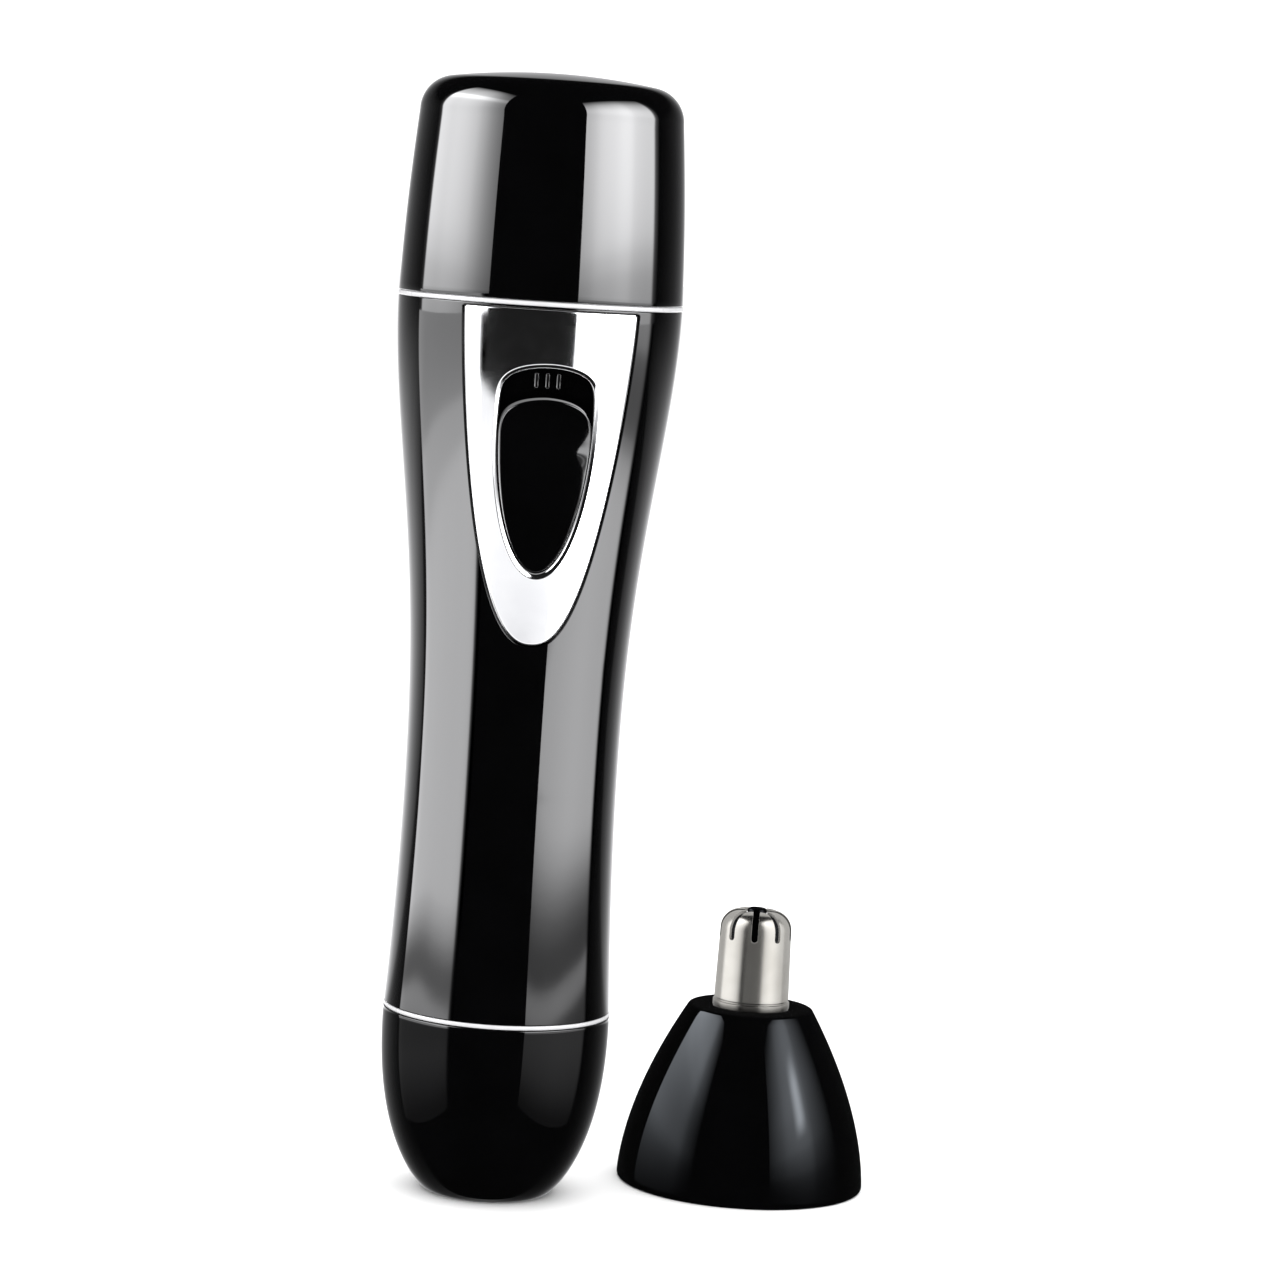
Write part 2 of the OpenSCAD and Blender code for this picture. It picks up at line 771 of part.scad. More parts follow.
bottom_cap();
cap_insert();
seal_ring();
spring_plate();
battery_spring();
battery_cell();
battery_sleeve();
body_shell();
front_plate();
switch_well();
lower_trim_ring();
upper_trim_ring();
neck_deck();
neck_bush();
chassis();
chassis_screws();
positive_contact();
negative_strip();
switch_contacts();
motor_can();
motor_magnets();
motor_end_cap();
motor_terminals();
motor_cushion();
travel_cap();
cap_grip_ring();
switch_button();
switch_carriage();
switch_wiper();
motor_shaft();
motor_rotor();
shaft_coupler();
drive_spindle();
head_shell();
head_socket();
guard_tube();
tube_retainer();
cutter_bush();
cutter_spring();
thrust_washer();
cutter_blade();
cutter_hub();
cutter_shaft();
drive_dog();
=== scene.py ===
"""Nose hair trimmer: smooth shells, switch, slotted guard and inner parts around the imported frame.

Lengths in this script are millimetres unless a name ends in _m. The row frame has +Z up and
the front plate facing -Y. Angles round an axis start at -Y and grow towards +X.
"""
import math

import bmesh
import bpy
import numpy as np
from mathutils import Matrix, Vector


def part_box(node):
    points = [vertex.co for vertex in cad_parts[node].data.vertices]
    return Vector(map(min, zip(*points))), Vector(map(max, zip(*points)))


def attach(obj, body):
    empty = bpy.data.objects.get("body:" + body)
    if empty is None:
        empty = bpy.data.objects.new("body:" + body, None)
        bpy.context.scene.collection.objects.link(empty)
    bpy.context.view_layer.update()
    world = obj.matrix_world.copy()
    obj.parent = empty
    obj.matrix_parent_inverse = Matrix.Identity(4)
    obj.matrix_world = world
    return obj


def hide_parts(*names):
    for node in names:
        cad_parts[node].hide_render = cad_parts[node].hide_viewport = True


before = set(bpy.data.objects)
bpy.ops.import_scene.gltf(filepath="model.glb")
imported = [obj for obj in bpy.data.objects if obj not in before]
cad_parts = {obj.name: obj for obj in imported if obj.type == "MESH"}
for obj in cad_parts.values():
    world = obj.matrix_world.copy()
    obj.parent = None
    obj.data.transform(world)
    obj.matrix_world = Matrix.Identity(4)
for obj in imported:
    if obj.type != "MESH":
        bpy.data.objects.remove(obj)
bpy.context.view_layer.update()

MM = 0.001


def low(node):
    """Lowest corner of a CAD node, in millimetres."""
    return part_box(node)[0] / MM


def high(node):
    """Highest corner of a CAD node, in millimetres."""
    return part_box(node)[1] / MM


def middle(node):
    return (low(node) + high(node)) / 2


# ---- sizes ------------------------------------------------------------------

WALL = 1.6                                  # moulded shell thickness
CAP_RIM_Z = high("bottom_cap").z
FOOT_R = 7.7
LOWER_JOINT_Z = CAP_RIM_Z + 0.35
LOWER_JOINT_R = high("lower_trim_ring").x - 0.03
SHELL_LOW_Z = low("body_shell").z
SHELL_TOP_Z = high("body_shell").z
UPPER_JOINT_R = high("upper_trim_ring").x - 0.04
WAIST_Z = 52.2
WAIST_R = 13.5
BORE_R = 11.8
BORE_TOP_Z = 60.0
COLLAR_R = high("neck_deck").x
COLLAR_TOP_Z = 117.0
NECK_R = 9.0
NECK_TOP_Z = high("neck_deck").z
TRAVEL_RIM_Z = low("travel_cap").z
TRAVEL_TOP_Z = high("travel_cap").z
SHOULDER_R = 16.4
SHOULDER_ARC = 4.3
DOME_R = 80.0

PLATE_T = 0.9
PLATE_GROOVE = 0.32
PLATE_TIP_Z = low("front_plate").z
PLATE_TOP_Z = high("front_plate").z
PLATE_HALF_W = high("front_plate").x
WINDOW_HALF_W = 5.9
WINDOW_MID_Z = 98.5
WINDOW_UP = 6.75
WINDOW_DOWN = 18.75
WINDOW_LIP = 0.5
WELL_FLOOR = 2.9
BUTTON_GAP = 0.3
BUTTON_SHIFT = 3.9
BUTTON_CROWN_R = 45.0                       # the button is flatter across than the handle
DISH_UP = 0.35                              # the thumb dish's middle, up the slope

HEAD_X, HEAD_Y = middle("head_shell").x, middle("head_shell").y
HEAD_AXIS = (HEAD_X, HEAD_Y)
HEAD_R = high("head_shell").x - HEAD_X
HEAD_H = high("head_shell").z
HEAD_TOP_R = 8.0
HEAD_WALL = 1.5
GUARD_R = 4.86
GUARD_TIP_R = 4.6
GUARD_T = 0.4
GUARD_TOP_Z = high("guard_tube").z
GUARD_CORNER_Z = 33.4
GUARD_CORNER_R = 2.4
SLOTS = 9
SLOT_W = 0.85
SLOT_FOOT_Z = 32.2
SLOT_TURN = -10.5
HUB_HOLE_R = 1.6


# ---- outlines ---------------------------------------------------------------

def mix(a, b, t):
    return a + (b - a) * t


def ease(t):
    return t * t * (3 - 2 * t)


def foot_radius(z):
    t = min(z / LOWER_JOINT_Z, 1)
    return mix(FOOT_R, LOWER_JOINT_R, (1 - (1 - t) ** 2.6) ** 0.75)


def body_radius(z):
    if z < WAIST_Z:
        return mix(WAIST_R, LOWER_JOINT_R, ((WAIST_Z - z) / (WAIST_Z - LOWER_JOINT_Z)) ** 1.7)
    return mix(WAIST_R, UPPER_JOINT_R, ease(min((z - WAIST_Z) / (SHELL_TOP_Z - WAIST_Z), 1) ** 1.38))


def head_radius(z):
    return mix(HEAD_R, HEAD_TOP_R, (z / HEAD_H) ** 1.73)


def taper(t, n):
    return math.sqrt(max(0.0, 1 - min(max(t, 0.0), 1.0) ** n))


def window_half(s):
    """Half width of the switch window at a height s along the front's slope."""
    return WINDOW_HALF_W * (taper(-s / WINDOW_DOWN, 2) if s < 0 else taper(s / WINDOW_UP, 5))


def button_half(s):
    upper = window_half(s + BUTTON_SHIFT) - BUTTON_GAP
    if s < 0:
        lower = (WINDOW_HALF_W - BUTTON_GAP) * taper(-s / (WINDOW_DOWN - BUTTON_GAP), 2)
        return max(0.0, min(lower, upper))
    return max(0.0, upper)


def plate_half(z):
    t = min(max((PLATE_TOP_Z - z) / (PLATE_TOP_Z - PLATE_TIP_Z), 0.0), 1.0)
    return PLATE_HALF_W * (1 - t ** 1.36) ** 0.42


def curve(radius, z0, z1, steps):
    return [(radius(mix(z0, z1, i / steps)), mix(z0, z1, i / steps)) for i in range(steps + 1)]


def arc(r, z, radius, a0, a1, steps):
    angles = [math.radians(mix(a0, a1, i / steps)) for i in range(steps + 1)]
    return [(r + radius * math.cos(a), z + radius * math.sin(a)) for a in angles]


def rounded(points, steps=5):
    """A closed profile in which each corner given a third number is rounded to that radius."""
    out = []
    n = len(points)
    for i, p in enumerate(points):
        if len(p) < 3:
            out.append(tuple(p))
            continue
        here = np.array(p[:2])
        before = np.array(points[i - 1][:2]) - here
        after = np.array(points[(i + 1) % n][:2]) - here
        before /= np.linalg.norm(before)
        after /= np.linalg.norm(after)
        half = math.acos(max(-1, min(1, float(before @ after)))) / 2
        run = p[2] / math.tan(half)
        centre = here + (before + after) / np.linalg.norm(before + after) * (p[2] / math.sin(half))
        start, end = here + before * run - centre, here + after * run - centre
        turn = math.acos(max(-1, min(1, float(start @ end) / p[2] ** 2)))
        for k in range(steps + 1):
            t = k / steps
            v = (start * math.sin((1 - t) * turn) + end * math.sin(t * turn)) / math.sin(turn)
            out.append(tuple(centre + v))
    return out


# ---- mesh building ----------------------------------------------------------

HEAD_BODIES = ("head", "float", "cutter")
lit = {"handle": [], "head": [], "tube": []}  # pieces by the studio set that lights them


def add_object(name, data):
    thing = bpy.data.objects.new(name, data)
    bpy.context.scene.collection.objects.link(thing)
    return thing


def finish_mesh(name, bm, body, node, material, sharp=35):
    bmesh.ops.recalc_face_normals(bm, faces=bm.faces)
    mesh = bpy.data.meshes.new(name)
    bm.to_mesh(mesh)
    bm.free()
    for polygon in mesh.polygons:
        polygon.use_smooth = True
    mesh.set_sharp_from_angle(angle=math.radians(sharp))
    mesh.materials.append(material)
    piece = add_object(name, mesh)
    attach(piece, body)
    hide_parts(node)
    lit["tube" if name == "guard_tube_steel" else "head" if body in HEAD_BODIES else "handle"].append(piece)
    return piece


def stitch(bm, first, second):
    """Quads between two closed rings of vertices; a ring of one vertex is a pole."""
    n = max(len(first), len(second))
    for i in range(n):
        j = (i + 1) % n
        corners = [first[i % len(first)], first[j % len(first)], second[j % len(second)],
                   second[i % len(second)]]
        unique = list(dict.fromkeys(corners))
        if len(unique) > 2:
            bm.faces.new(unique)


def spot(r, angle, z, centre=(0, 0)):
    """A point in metres at a radius and an angle round a vertical axis."""
    return (centre[0] + r * math.sin(angle)) * MM, (centre[1] - r * math.cos(angle)) * MM, z * MM


def ring_of(bm, r, z, centre, segments, start=0.0):
    if r < 1e-6:
        return [bm.verts.new(spot(0, 0, z, centre))]
    return [bm.verts.new(spot(r, start + 2 * math.pi * k / segments, z, centre)) for k in range(segments)]


def lathe(bm, profile, centre=(0, 0), segments=192):
    """Turns a closed profile of (r, z) points round a vertical axis."""
    rings = [ring_of(bm, r, z, centre, segments) for r, z in profile]
    for first, second in zip(rings, rings[1:] + rings[:1]):
        if len(first) > 1 or len(second) > 1:
            stitch(bm, first, second)


def turned(name, profile, body, node, material, centre=(0, 0), segments=192):
    bm = bmesh.new()
    lathe(bm, profile, centre, segments)
    finish_mesh(name, bm, body, node, material)


def loft(bm, rings):
    """Quads through a list of rings of points in millimetres, closed round and open at the ends."""
    made = [[bm.verts.new(tuple(np.array(p) * MM)) for p in ring] for ring in rings]
    for first, second in zip(made, made[1:]):
        stitch(bm, first, second)
    return made


def rounded_box(bm, centre, size, bevel, turn=None):
    """A box in millimetres with rounded edges, optionally turned by a matrix about its centre."""
    made = bmesh.ops.create_cube(bm, size=1)
    verts = made["verts"]
    bmesh.ops.scale(bm, vec=Vector(size) * MM, verts=verts)
    edges = list({e for v in verts for e in v.link_edges})
    out = bmesh.ops.bevel(bm, geom=edges, offset=bevel * MM, segments=3, profile=0.5, affect="EDGES")
    verts = list({v for f in out["faces"] for v in f.verts} | {v for v in verts if v.is_valid})
    if turn is not None:
        bmesh.ops.rotate(bm, cent=(0, 0, 0), matrix=turn, verts=verts)
    bmesh.ops.translate(bm, vec=Vector(centre) * MM, verts=verts)


def spoke(bm, r, degrees, z, size, bevel, centre=(0, 0)):
    """A rounded box turned to point away from a vertical axis."""
    a = math.radians(degrees)
    place = (centre[0] + r * math.sin(a), centre[1] - r * math.cos(a), z)
    rounded_box(bm, place, size, bevel, Matrix.Rotation(a, 3, "Z"))


def closed_loft(bm, rings):
    """A loft with a flat face at each end."""
    made = loft(bm, rings)
    bm.faces.new(made[0])
    bm.faces.new(made[-1])


def wire(bm, path, radius, sides=12):
    """A round wire along a list of points in millimetres, with flat ends."""
    rings = []
    for i, p in enumerate(path):
        p = Vector(p)
        ahead = Vector(path[min(i + 1, len(path) - 1)]) - Vector(path[max(i - 1, 0)])
        ahead.normalize()
        side = ahead.cross(Vector((0, 0, 1))).normalized()
        up = side.cross(ahead)
        rings.append([p + (side * math.cos(a) + up * math.sin(a)) * radius
                      for a in (2 * math.pi * k / sides for k in range(sides))])
    closed_loft(bm, rings)


# ---- materials --------------------------------------------------------------

def fill(node, **values):
    """Sets a node's inputs by name, with _ for a space."""
    for key, value in values.items():
        node.inputs[key.replace("_", " ")].default_value = value
    return node


def span(tree, value, low_value, high_value, from_low=0.3, from_high=0.7, kind="LINEAR"):
    node = tree.nodes.new("ShaderNodeMapRange")
    node.interpolation_type = kind
    fill(node, From_Min=from_low, From_Max=from_high, To_Min=low_value, To_Max=high_value)
    tree.links.new(value, node.inputs["Value"])
    return node.outputs["Result"]


class Maths:
    """Builds chains of value nodes."""

    def __init__(self, tree):
        self.tree = tree

    def do(self, operation, *values):
        node = self.tree.nodes.new("ShaderNodeMath")
        node.operation = operation
        for socket, value in zip(node.inputs, values):
            if isinstance(value, (int, float)):
                socket.default_value = value
            else:
                self.tree.links.new(value, socket)
        return node.outputs[0]

    def step(self, value, start, end):
        """Rises smoothly from 0 at start to 1 at end; start may be the larger."""
        return span(self.tree, value, int(start > end), int(start < end), *sorted((start, end)), "SMOOTHSTEP")

    def profile(self, value, stations):
        """A smooth value through (position, level) stations."""
        node = self.tree.nodes.new("ShaderNodeFloatCurve")
        start, end = stations[0][0], stations[-1][0]
        top = max(level for _, level in stations)
        points = [((at - start) / (end - start), level / top) for at, level in stations]
        line = node.mapping.curves[0]
        line.points[0].location = points[0]
        line.points[1].location = points[-1]
        for point in points[1:-1]:
            line.points.new(*point)
        node.mapping.update()
        share = self.do("DIVIDE", self.do("SUBTRACT", value, start), end - start)
        self.tree.links.new(share, node.inputs["Value"])
        return self.do("MULTIPLY", node.outputs[0], top)


def new_material(name, base, metallic, roughness):
    material = bpy.data.materials.new(name)
    material.use_nodes = True
    tree = material.node_tree
    shader = fill(tree.nodes["Principled BSDF"], Base_Color=(*base, 1), Metallic=metallic,
                  Roughness=roughness)
    return material, tree, shader


def noise(tree, scale, detail=3.0, stretch=(1, 1, 1)):
    """Noise over the piece's own coordinates; scale is in features per metre."""
    coords = tree.nodes.new("ShaderNodeTexCoord")
    mapping = fill(tree.nodes.new("ShaderNodeMapping"), Scale=stretch)
    texture = fill(tree.nodes.new("ShaderNodeTexNoise"), Scale=scale, Detail=detail)
    tree.links.new(coords.outputs["Object"], mapping.inputs["Vector"])
    tree.links.new(mapping.outputs["Vector"], texture.inputs["Vector"])
    return texture.outputs["Fac"]


def tint(tree, shader, value, dark, light):
    ramp = tree.nodes.new("ShaderNodeValToRGB")
    for element, at, colour in zip(ramp.color_ramp.elements, (0.3, 0.7), (dark, light)):
        element.position = at
        element.color = (*colour, 1)
    tree.links.new(value, ramp.inputs["Fac"])
    tree.links.new(ramp.outputs["Color"], shader.inputs["Base Color"])
    return ramp.outputs["Color"]


def bump(tree, shader, value, height_m, strength=1.0):
    node = fill(tree.nodes.new("ShaderNodeBump"), Strength=strength, Distance=height_m)
    tree.links.new(value, node.inputs["Height"])
    tree.links.new(node.outputs["Normal"], shader.inputs["Normal"])


GAP_REACH_M = 0.0015                        # how wide a gap can be and still get painted shade


def gap_shade_mask(tree):
    """A mask for painted shade: 1 on open surfaces, falling to 0 inside gaps and slots that light hardly gets
    into.
    """
    node = fill(tree.nodes.new("ShaderNodeAmbientOcclusion"), Distance=GAP_REACH_M)
    node.samples = 8
    return Maths(tree).do("POWER", node.outputs["AO"], 3)


def gloss_plastic(name, base, light, roughness=0.018):
    """Piano-black ABS: nearly a mirror, with a trace of orange peel and handling haze."""
    material, tree, shader = new_material(name, base, 0, roughness)
    tint(tree, shader, noise(tree, 160), base, light)
    # Painted shade: the reflection is dimmed inside narrow gaps and slots by the ambient occlusion mask.
    tree.links.new(span(tree, gap_shade_mask(tree), 0, 0.5, 0, 1), shader.inputs["Specular IOR Level"])
    haze = noise(tree, 260, 6, (1, 1, 0.35))
    tree.links.new(span(tree, haze, roughness, roughness * 2.4), shader.inputs["Roughness"])
    bump(tree, shader, noise(tree, 420, 2), 0.0000006)
    return material


def matt_plastic(name, base, light, roughness=0.5, grain=9000, height_m=0.000012):
    material, tree, shader = new_material(name, base, 0, roughness)
    tint(tree, shader, noise(tree, 500), base, light)
    tree.links.new(span(tree, noise(tree, 1200), roughness * 0.9, roughness * 1.15),
                   shader.inputs["Roughness"])
    bump(tree, shader, noise(tree, grain, 2), height_m, 0.7)
    return material


def bright_metal(name, base, light, roughness, rough_high, grain=None, height_m=0.0000015):
    """Plated or ground metal; grain is (scale, stretch) of its brushing."""
    material, tree, shader = new_material(name, base, 1, roughness)
    scale, stretch = grain or (500, (1, 1, 1))
    streaks = noise(tree, scale, 4, stretch)
    colour = tint(tree, shader, noise(tree, 180), base, light)
    # Painted shade: the base colour is darkened inside narrow gaps and slots by the ambient occlusion mask.
    gap_shaded_colour = tree.nodes.new("ShaderNodeVectorMath")
    gap_shaded_colour.operation = "SCALE"
    tree.links.new(colour, gap_shaded_colour.inputs["Vector"])
    tree.links.new(gap_shade_mask(tree), gap_shaded_colour.inputs["Scale"])
    tree.links.new(gap_shaded_colour.outputs["Vector"], shader.inputs["Base Color"])
    tree.links.new(span(tree, streaks, roughness, rough_high), shader.inputs["Roughness"])
    bump(tree, shader, streaks, height_m)
    return material


UPRIGHT = (1, 1, 0.04)                      # stretches noise into fine upright streaks
ROUND = (0.12, 0.12, 1)                     # stretches noise into rings round an upright axis

GLOSS = gloss_plastic("gloss_black", (0.0006, 0.0006, 0.0007), (0.0010, 0.0010, 0.0012))
BUTTON = gloss_plastic("button_black", (0.0006, 0.0006, 0.0007), (0.0010, 0.0010, 0.0012), 0.03)
INNER = matt_plastic("inner_black", (0.012, 0.012, 0.013), (0.019, 0.019, 0.021), 0.38)
RUBBER = matt_plastic("rubber_black", (0.016, 0.016, 0.016), (0.028, 0.028, 0.028), 0.75, 5000, 0.00002)
CHROME = bright_metal("chrome_plate", (0.86, 0.865, 0.88), (0.93, 0.935, 0.94), 0.05, 0.09)
TRIM = matt_plastic("trim_silver", (0.52, 0.52, 0.53), (0.58, 0.58, 0.59), 0.3, height_m=0.000001)
STEEL = bright_metal("cutter_steel", (0.58, 0.565, 0.54), (0.68, 0.67, 0.65), 0.20, 0.27, (1500, UPRIGHT))
BLADE = bright_metal("blade_steel", (0.16, 0.16, 0.16), (0.24, 0.24, 0.24), 0.20, 0.34, (2500, ROUND))
NICKEL = bright_metal("nickel", (0.55, 0.53, 0.49), (0.68, 0.66, 0.62), 0.18, 0.34, (900, (1, 1, 1)))
SPRING = bright_metal("spring_steel", (0.46, 0.47, 0.48), (0.60, 0.61, 0.62), 0.22, 0.36, (2500, (1, 1, 1)))
CELL = bright_metal("cell_steel", (0.52, 0.52, 0.53), (0.66, 0.66, 0.67), 0.20, 0.35, (1500, ROUND))
SCREW = bright_metal("screw_steel", (0.44, 0.45, 0.47), (0.58, 0.59, 0.60), 0.22, 0.40, (1800, ROUND))
BRASS = bright_metal("contact_brass", (0.60, 0.42, 0.16), (0.76, 0.57, 0.26), 0.20, 0.38, (1400, UPRIGHT))
MOTOR = bright_metal("motor_steel", (0.42, 0.43, 0.45), (0.56, 0.57, 0.58), 0.26, 0.42, (1300, UPRIGHT))
SHAFT = bright_metal("shaft_steel", (0.52, 0.53, 0.54), (0.68, 0.69, 0.70), 0.14, 0.26, (2500, ROUND))
COPPER = bright_metal("winding_copper", (0.34, 0.13, 0.05), (0.55, 0.25, 0.11), 0.25, 0.45, (3500, ROUND),
                      0.00004)
BRONZE = bright_metal("sintered_bronze", (0.34, 0.20, 0.08), (0.52, 0.34, 0.17), 0.34, 0.60,
                      (6000, (1, 1, 1)), 0.00001)
MAGNET = matt_plastic("magnet_grey", (0.06, 0.06, 0.065), (0.11, 0.11, 0.115), 0.55, 6000, 0.00002)
NATURAL = matt_plastic("natural_plastic", (0.62, 0.59, 0.52), (0.74, 0.71, 0.65), 0.38, 5000, 0.000006)
SLEEVE = gloss_plastic("cell_sleeve", (0.012, 0.022, 0.045), (0.020, 0.034, 0.065), 0.10)


# ---- turned shells ----------------------------------------------------------

def bottom_cap():
    outer = curve(foot_radius, 0.9, CAP_RIM_Z, 40)[:-1]
    inner = curve(lambda z: foot_radius(z) - WALL, 2.0, CAP_RIM_Z, 16)[1:-1]
    rim_r = foot_radius(CAP_RIM_Z)
    profile = rounded([(0, 0.25), (FOOT_R - 1.6, 0.25, 0.5), (FOOT_R - 1.1, 0.0, 0.3), (FOOT_R, 0.0, 0.25)]
                      + [(foot_radius(z), z) for z in (0.12, 0.3, 0.55)] + outer
                      + [(rim_r, CAP_RIM_Z, 0.12), (rim_r - WALL, CAP_RIM_Z, 0.2)] + inner[::-1]
                      + [(foot_radius(2.0) - WALL, 2.0), (0, 2.0)], 4)
    turned("bottom_cap_shell", profile, "battery_cap", "bottom_cap", GLOSS, segments=256)


def crown(inset, steps):
    """The travel cap's shoulder and dome from its side up to the axis."""
    edge_r = SHOULDER_R - SHOULDER_ARC
    dome_z = TRAVEL_TOP_Z - DOME_R
    tilt = math.asin(edge_r / (DOME_R - SHOULDER_ARC))
    arc_z = dome_z + (DOME_R - SHOULDER_ARC) * math.cos(tilt)
    shoulder = arc(edge_r, arc_z, SHOULDER_ARC - inset, 0, 90 - math.degrees(tilt), steps)
    dome_r, angles = DOME_R - inset, [tilt * k / steps for k in range(steps - 1, 0, -1)]
    dome = [(dome_r * math.sin(a), dome_z + dome_r * math.cos(a)) for a in angles]
    return shoulder + dome + [(0, TRAVEL_TOP_Z - inset)], arc_z


def travel_cap():
    top, arc_z = crown(0, 24)
    under, _ = crown(WALL, 12)

    def side(z):
        """Almost straight, with a slight swell that meets the shoulder squarely."""
        t = (z - TRAVEL_RIM_Z) / (arc_z - TRAVEL_RIM_Z)
        return mix(UPPER_JOINT_R, SHOULDER_R, t * (0.82 + 0.18 * t)) + 0.12 * math.sin(math.pi * t)

    bore = COLLAR_R + 0.15
    outer = curve(side, TRAVEL_RIM_Z + 0.8, arc_z, 30)[:-1]
    profile = rounded(
        [(bore, TRAVEL_RIM_Z, 0.25), (UPPER_JOINT_R, TRAVEL_RIM_Z, 0.12)] + outer + top
        + under[::-1] + [(bore - 0.6, 119.6), (bore, 118.4, 0.1), (bore, 115.8), (bore + 0.5, 115.8),
                         (bore + 0.5, 114.2), (bore, 114.2)], 4)
    turned("travel_cap_shell", profile, "cap", "travel_cap", GLOSS, segments=256)
    ring = rounded([(COLLAR_R + 0.06, 114.3, 0.2), (bore + 0.49, 114.22), (bore + 0.49, 115.78),
                    (COLLAR_R + 0.06, 115.7, 0.2)], 4)
    turned("cap_grip_ring_rubber", ring, "cap", "cap_grip_ring", RUBBER)


def trim_rings():
    for name, node, inner, proud in (("lower_ring", "lower_trim_ring", 12.0, 0.02),
                                     ("upper_ring", "upper_trim_ring", COLLAR_R + 0.05, 0.03)):
        z0, z1, r = low(node).z, high(node).z, high(node).x - 0.02
        profile = rounded([(inner, z0), (r, z0, 0.2), (r + proud, mix(z0, z1, 0.5)), (r, z1, 0.2),
                           (inner, z1)], 5)
        turned(name, profile, "handle", node, TRIM, segments=256)


# ---- handle shell, plate, well and button -----------------------------------

FACE_LOW_Z = WINDOW_MID_Z - WINDOW_DOWN
FACE_HIGH_Z = WINDOW_MID_Z + WINDOW_UP
FACE_TILT = math.atan((body_radius(FACE_HIGH_Z) - body_radius(FACE_LOW_Z)) / (FACE_HIGH_Z - FACE_LOW_Z))
FACE_UP = np.array([0, -math.sin(FACE_TILT), math.cos(FACE_TILT)])
FACE_IN = np.array([0, math.cos(FACE_TILT), math.sin(FACE_TILT)])
FACE_ORIGIN = np.array([0, -body_radius(WINDOW_MID_Z), WINDOW_MID_Z])
FACE_MID_Z = 95.0                           # middle of the plate's polar layout


def face_point(x, s, depth=0.0):
    """The point at (x, s) on the slope of the front, a depth below the handle's own surface."""
    start = FACE_ORIGIN + np.array([x, 0, 0]) + FACE_UP * s
    run = 0.0
    for _ in range(12):
        p = start + FACE_IN * run
        run += math.hypot(p[0], p[1]) - body_radius(p[2]) if p[1] < 0 else 0
    return start + FACE_IN * (run + depth)


def flat_point(x, s, depth):
    """The point at (x, s) a depth below the flat plane through the front's middle."""
    return FACE_ORIGIN + np.array([x, 0, 0]) + FACE_UP * s + FACE_IN * depth


def front_point(x, z, depth=0.0):
    """The point on the handle's front at (x, z), a depth towards the axis."""
    r = body_radius(z) - depth
    return np.array([x, -math.sqrt(max(r * r - x * x, 0)), z])


def outline(half, bottom, top, steps=900):
    """A closed outline, the same both sides, as an array of (x, height)."""
    heights = [mix(bottom, top, (1 - math.cos(math.pi * i / steps)) / 2) for i in range(steps + 1)]
    right = [(half(h), h) for h in heights]
    left = [(-x, h) for x, h in right[::-1]]
    flat = half(top)
    across = [(mix(flat, -flat, i / 120), top) for i in range(1, 120)] if flat > 0.1 else []
    return np.array(right + across + left[:-1] if across else right + left[1:-1])


def grown(points, distance):
    """The outline moved outwards by a distance along its own normals."""
    ahead = np.roll(points, -1, 0) - np.roll(points, 1, 0)
    length = np.linalg.norm(ahead, axis=1, keepdims=True)
    normal = np.stack([ahead[:, 1], -ahead[:, 0]], 1) / np.maximum(length, 1e-9)
    return points + normal * distance


def by_angle(points, centre, angles):
    """Where rays from a centre, at angles from straight up, cross a closed outline."""
    rel = points - np.array(centre)
    angle = np.arctan2(rel[:, 0], rel[:, 1])
    order = np.argsort(angle)
    angle, rel = angle[order], rel[order]
    r = np.hypot(rel[:, 0], rel[:, 1])
    reach = np.interp(angles, angle, r, period=2 * math.pi)
    return np.stack([centre[0] + reach * np.sin(angles), centre[1] + reach * np.cos(angles)], 1)


PLATE_OUTLINE = outline(plate_half, PLATE_TIP_Z, PLATE_TOP_Z)
WINDOW_OUTLINE = outline(window_half, -WINDOW_DOWN, WINDOW_UP)
BUTTON_OUTLINE = outline(button_half, BUTTON_GAP - WINDOW_DOWN, WINDOW_UP - BUTTON_SHIFT)

COLUMNS = 240
FRONT_COLUMNS = 36                          # columns each side of the front's middle line
FRONT_LOW_Z = 66.0
FRONT_HIGH_Z = SHELL_TOP_Z - 0.12
FRONT_ROWS = 46


def grid_angle(column):
    return 2 * math.pi * column / COLUMNS


def border_cells():
    """(row, column) of the front rectangle's border, once round, as seen from outside."""
    right, left = FRONT_COLUMNS, -FRONT_COLUMNS
    cells = [(0, c) for c in range(left, right)]
    cells += [(r, right) for r in range(0, FRONT_ROWS)]
    cells += [(FRONT_ROWS, c) for c in range(right, left, -1)]
    cells += [(r, left) for r in range(FRONT_ROWS, 0, -1)]
    return cells


def front_row_z(row):
    return mix(FRONT_LOW_Z, FRONT_HIGH_Z, row / FRONT_ROWS)


BORDER = border_cells()
BORDER_XZ = np.array([(body_radius(front_row_z(r)) * math.sin(grid_angle(c)), front_row_z(r))
                      for r, c in BORDER])
RAYS = np.arctan2(BORDER_XZ[:, 0], BORDER_XZ[:, 1] - FACE_MID_Z)


def plate_ring(offset, depth):
    """The plate's outline grown by an offset, half as much across its flat top."""
    points = by_angle(grown(PLATE_OUTLINE, offset), (0, FACE_MID_Z), RAYS)
    points[:, 1] = np.where(points[:, 1] > PLATE_TOP_Z, (points[:, 1] + PLATE_TOP_Z) / 2, points[:, 1])
    return [front_point(x, z, depth) for x, z in points]


def window_ring(offset, depth, point=face_point):
    """The window's outline grown by an offset, on the handle's face or on a flat plane under it."""
    centre = (0, (FACE_MID_Z - WINDOW_MID_Z) / math.cos(FACE_TILT))
    points = by_angle(grown(WINDOW_OUTLINE, offset), centre, RAYS)
    return [point(x, s, depth) for x, s in points]


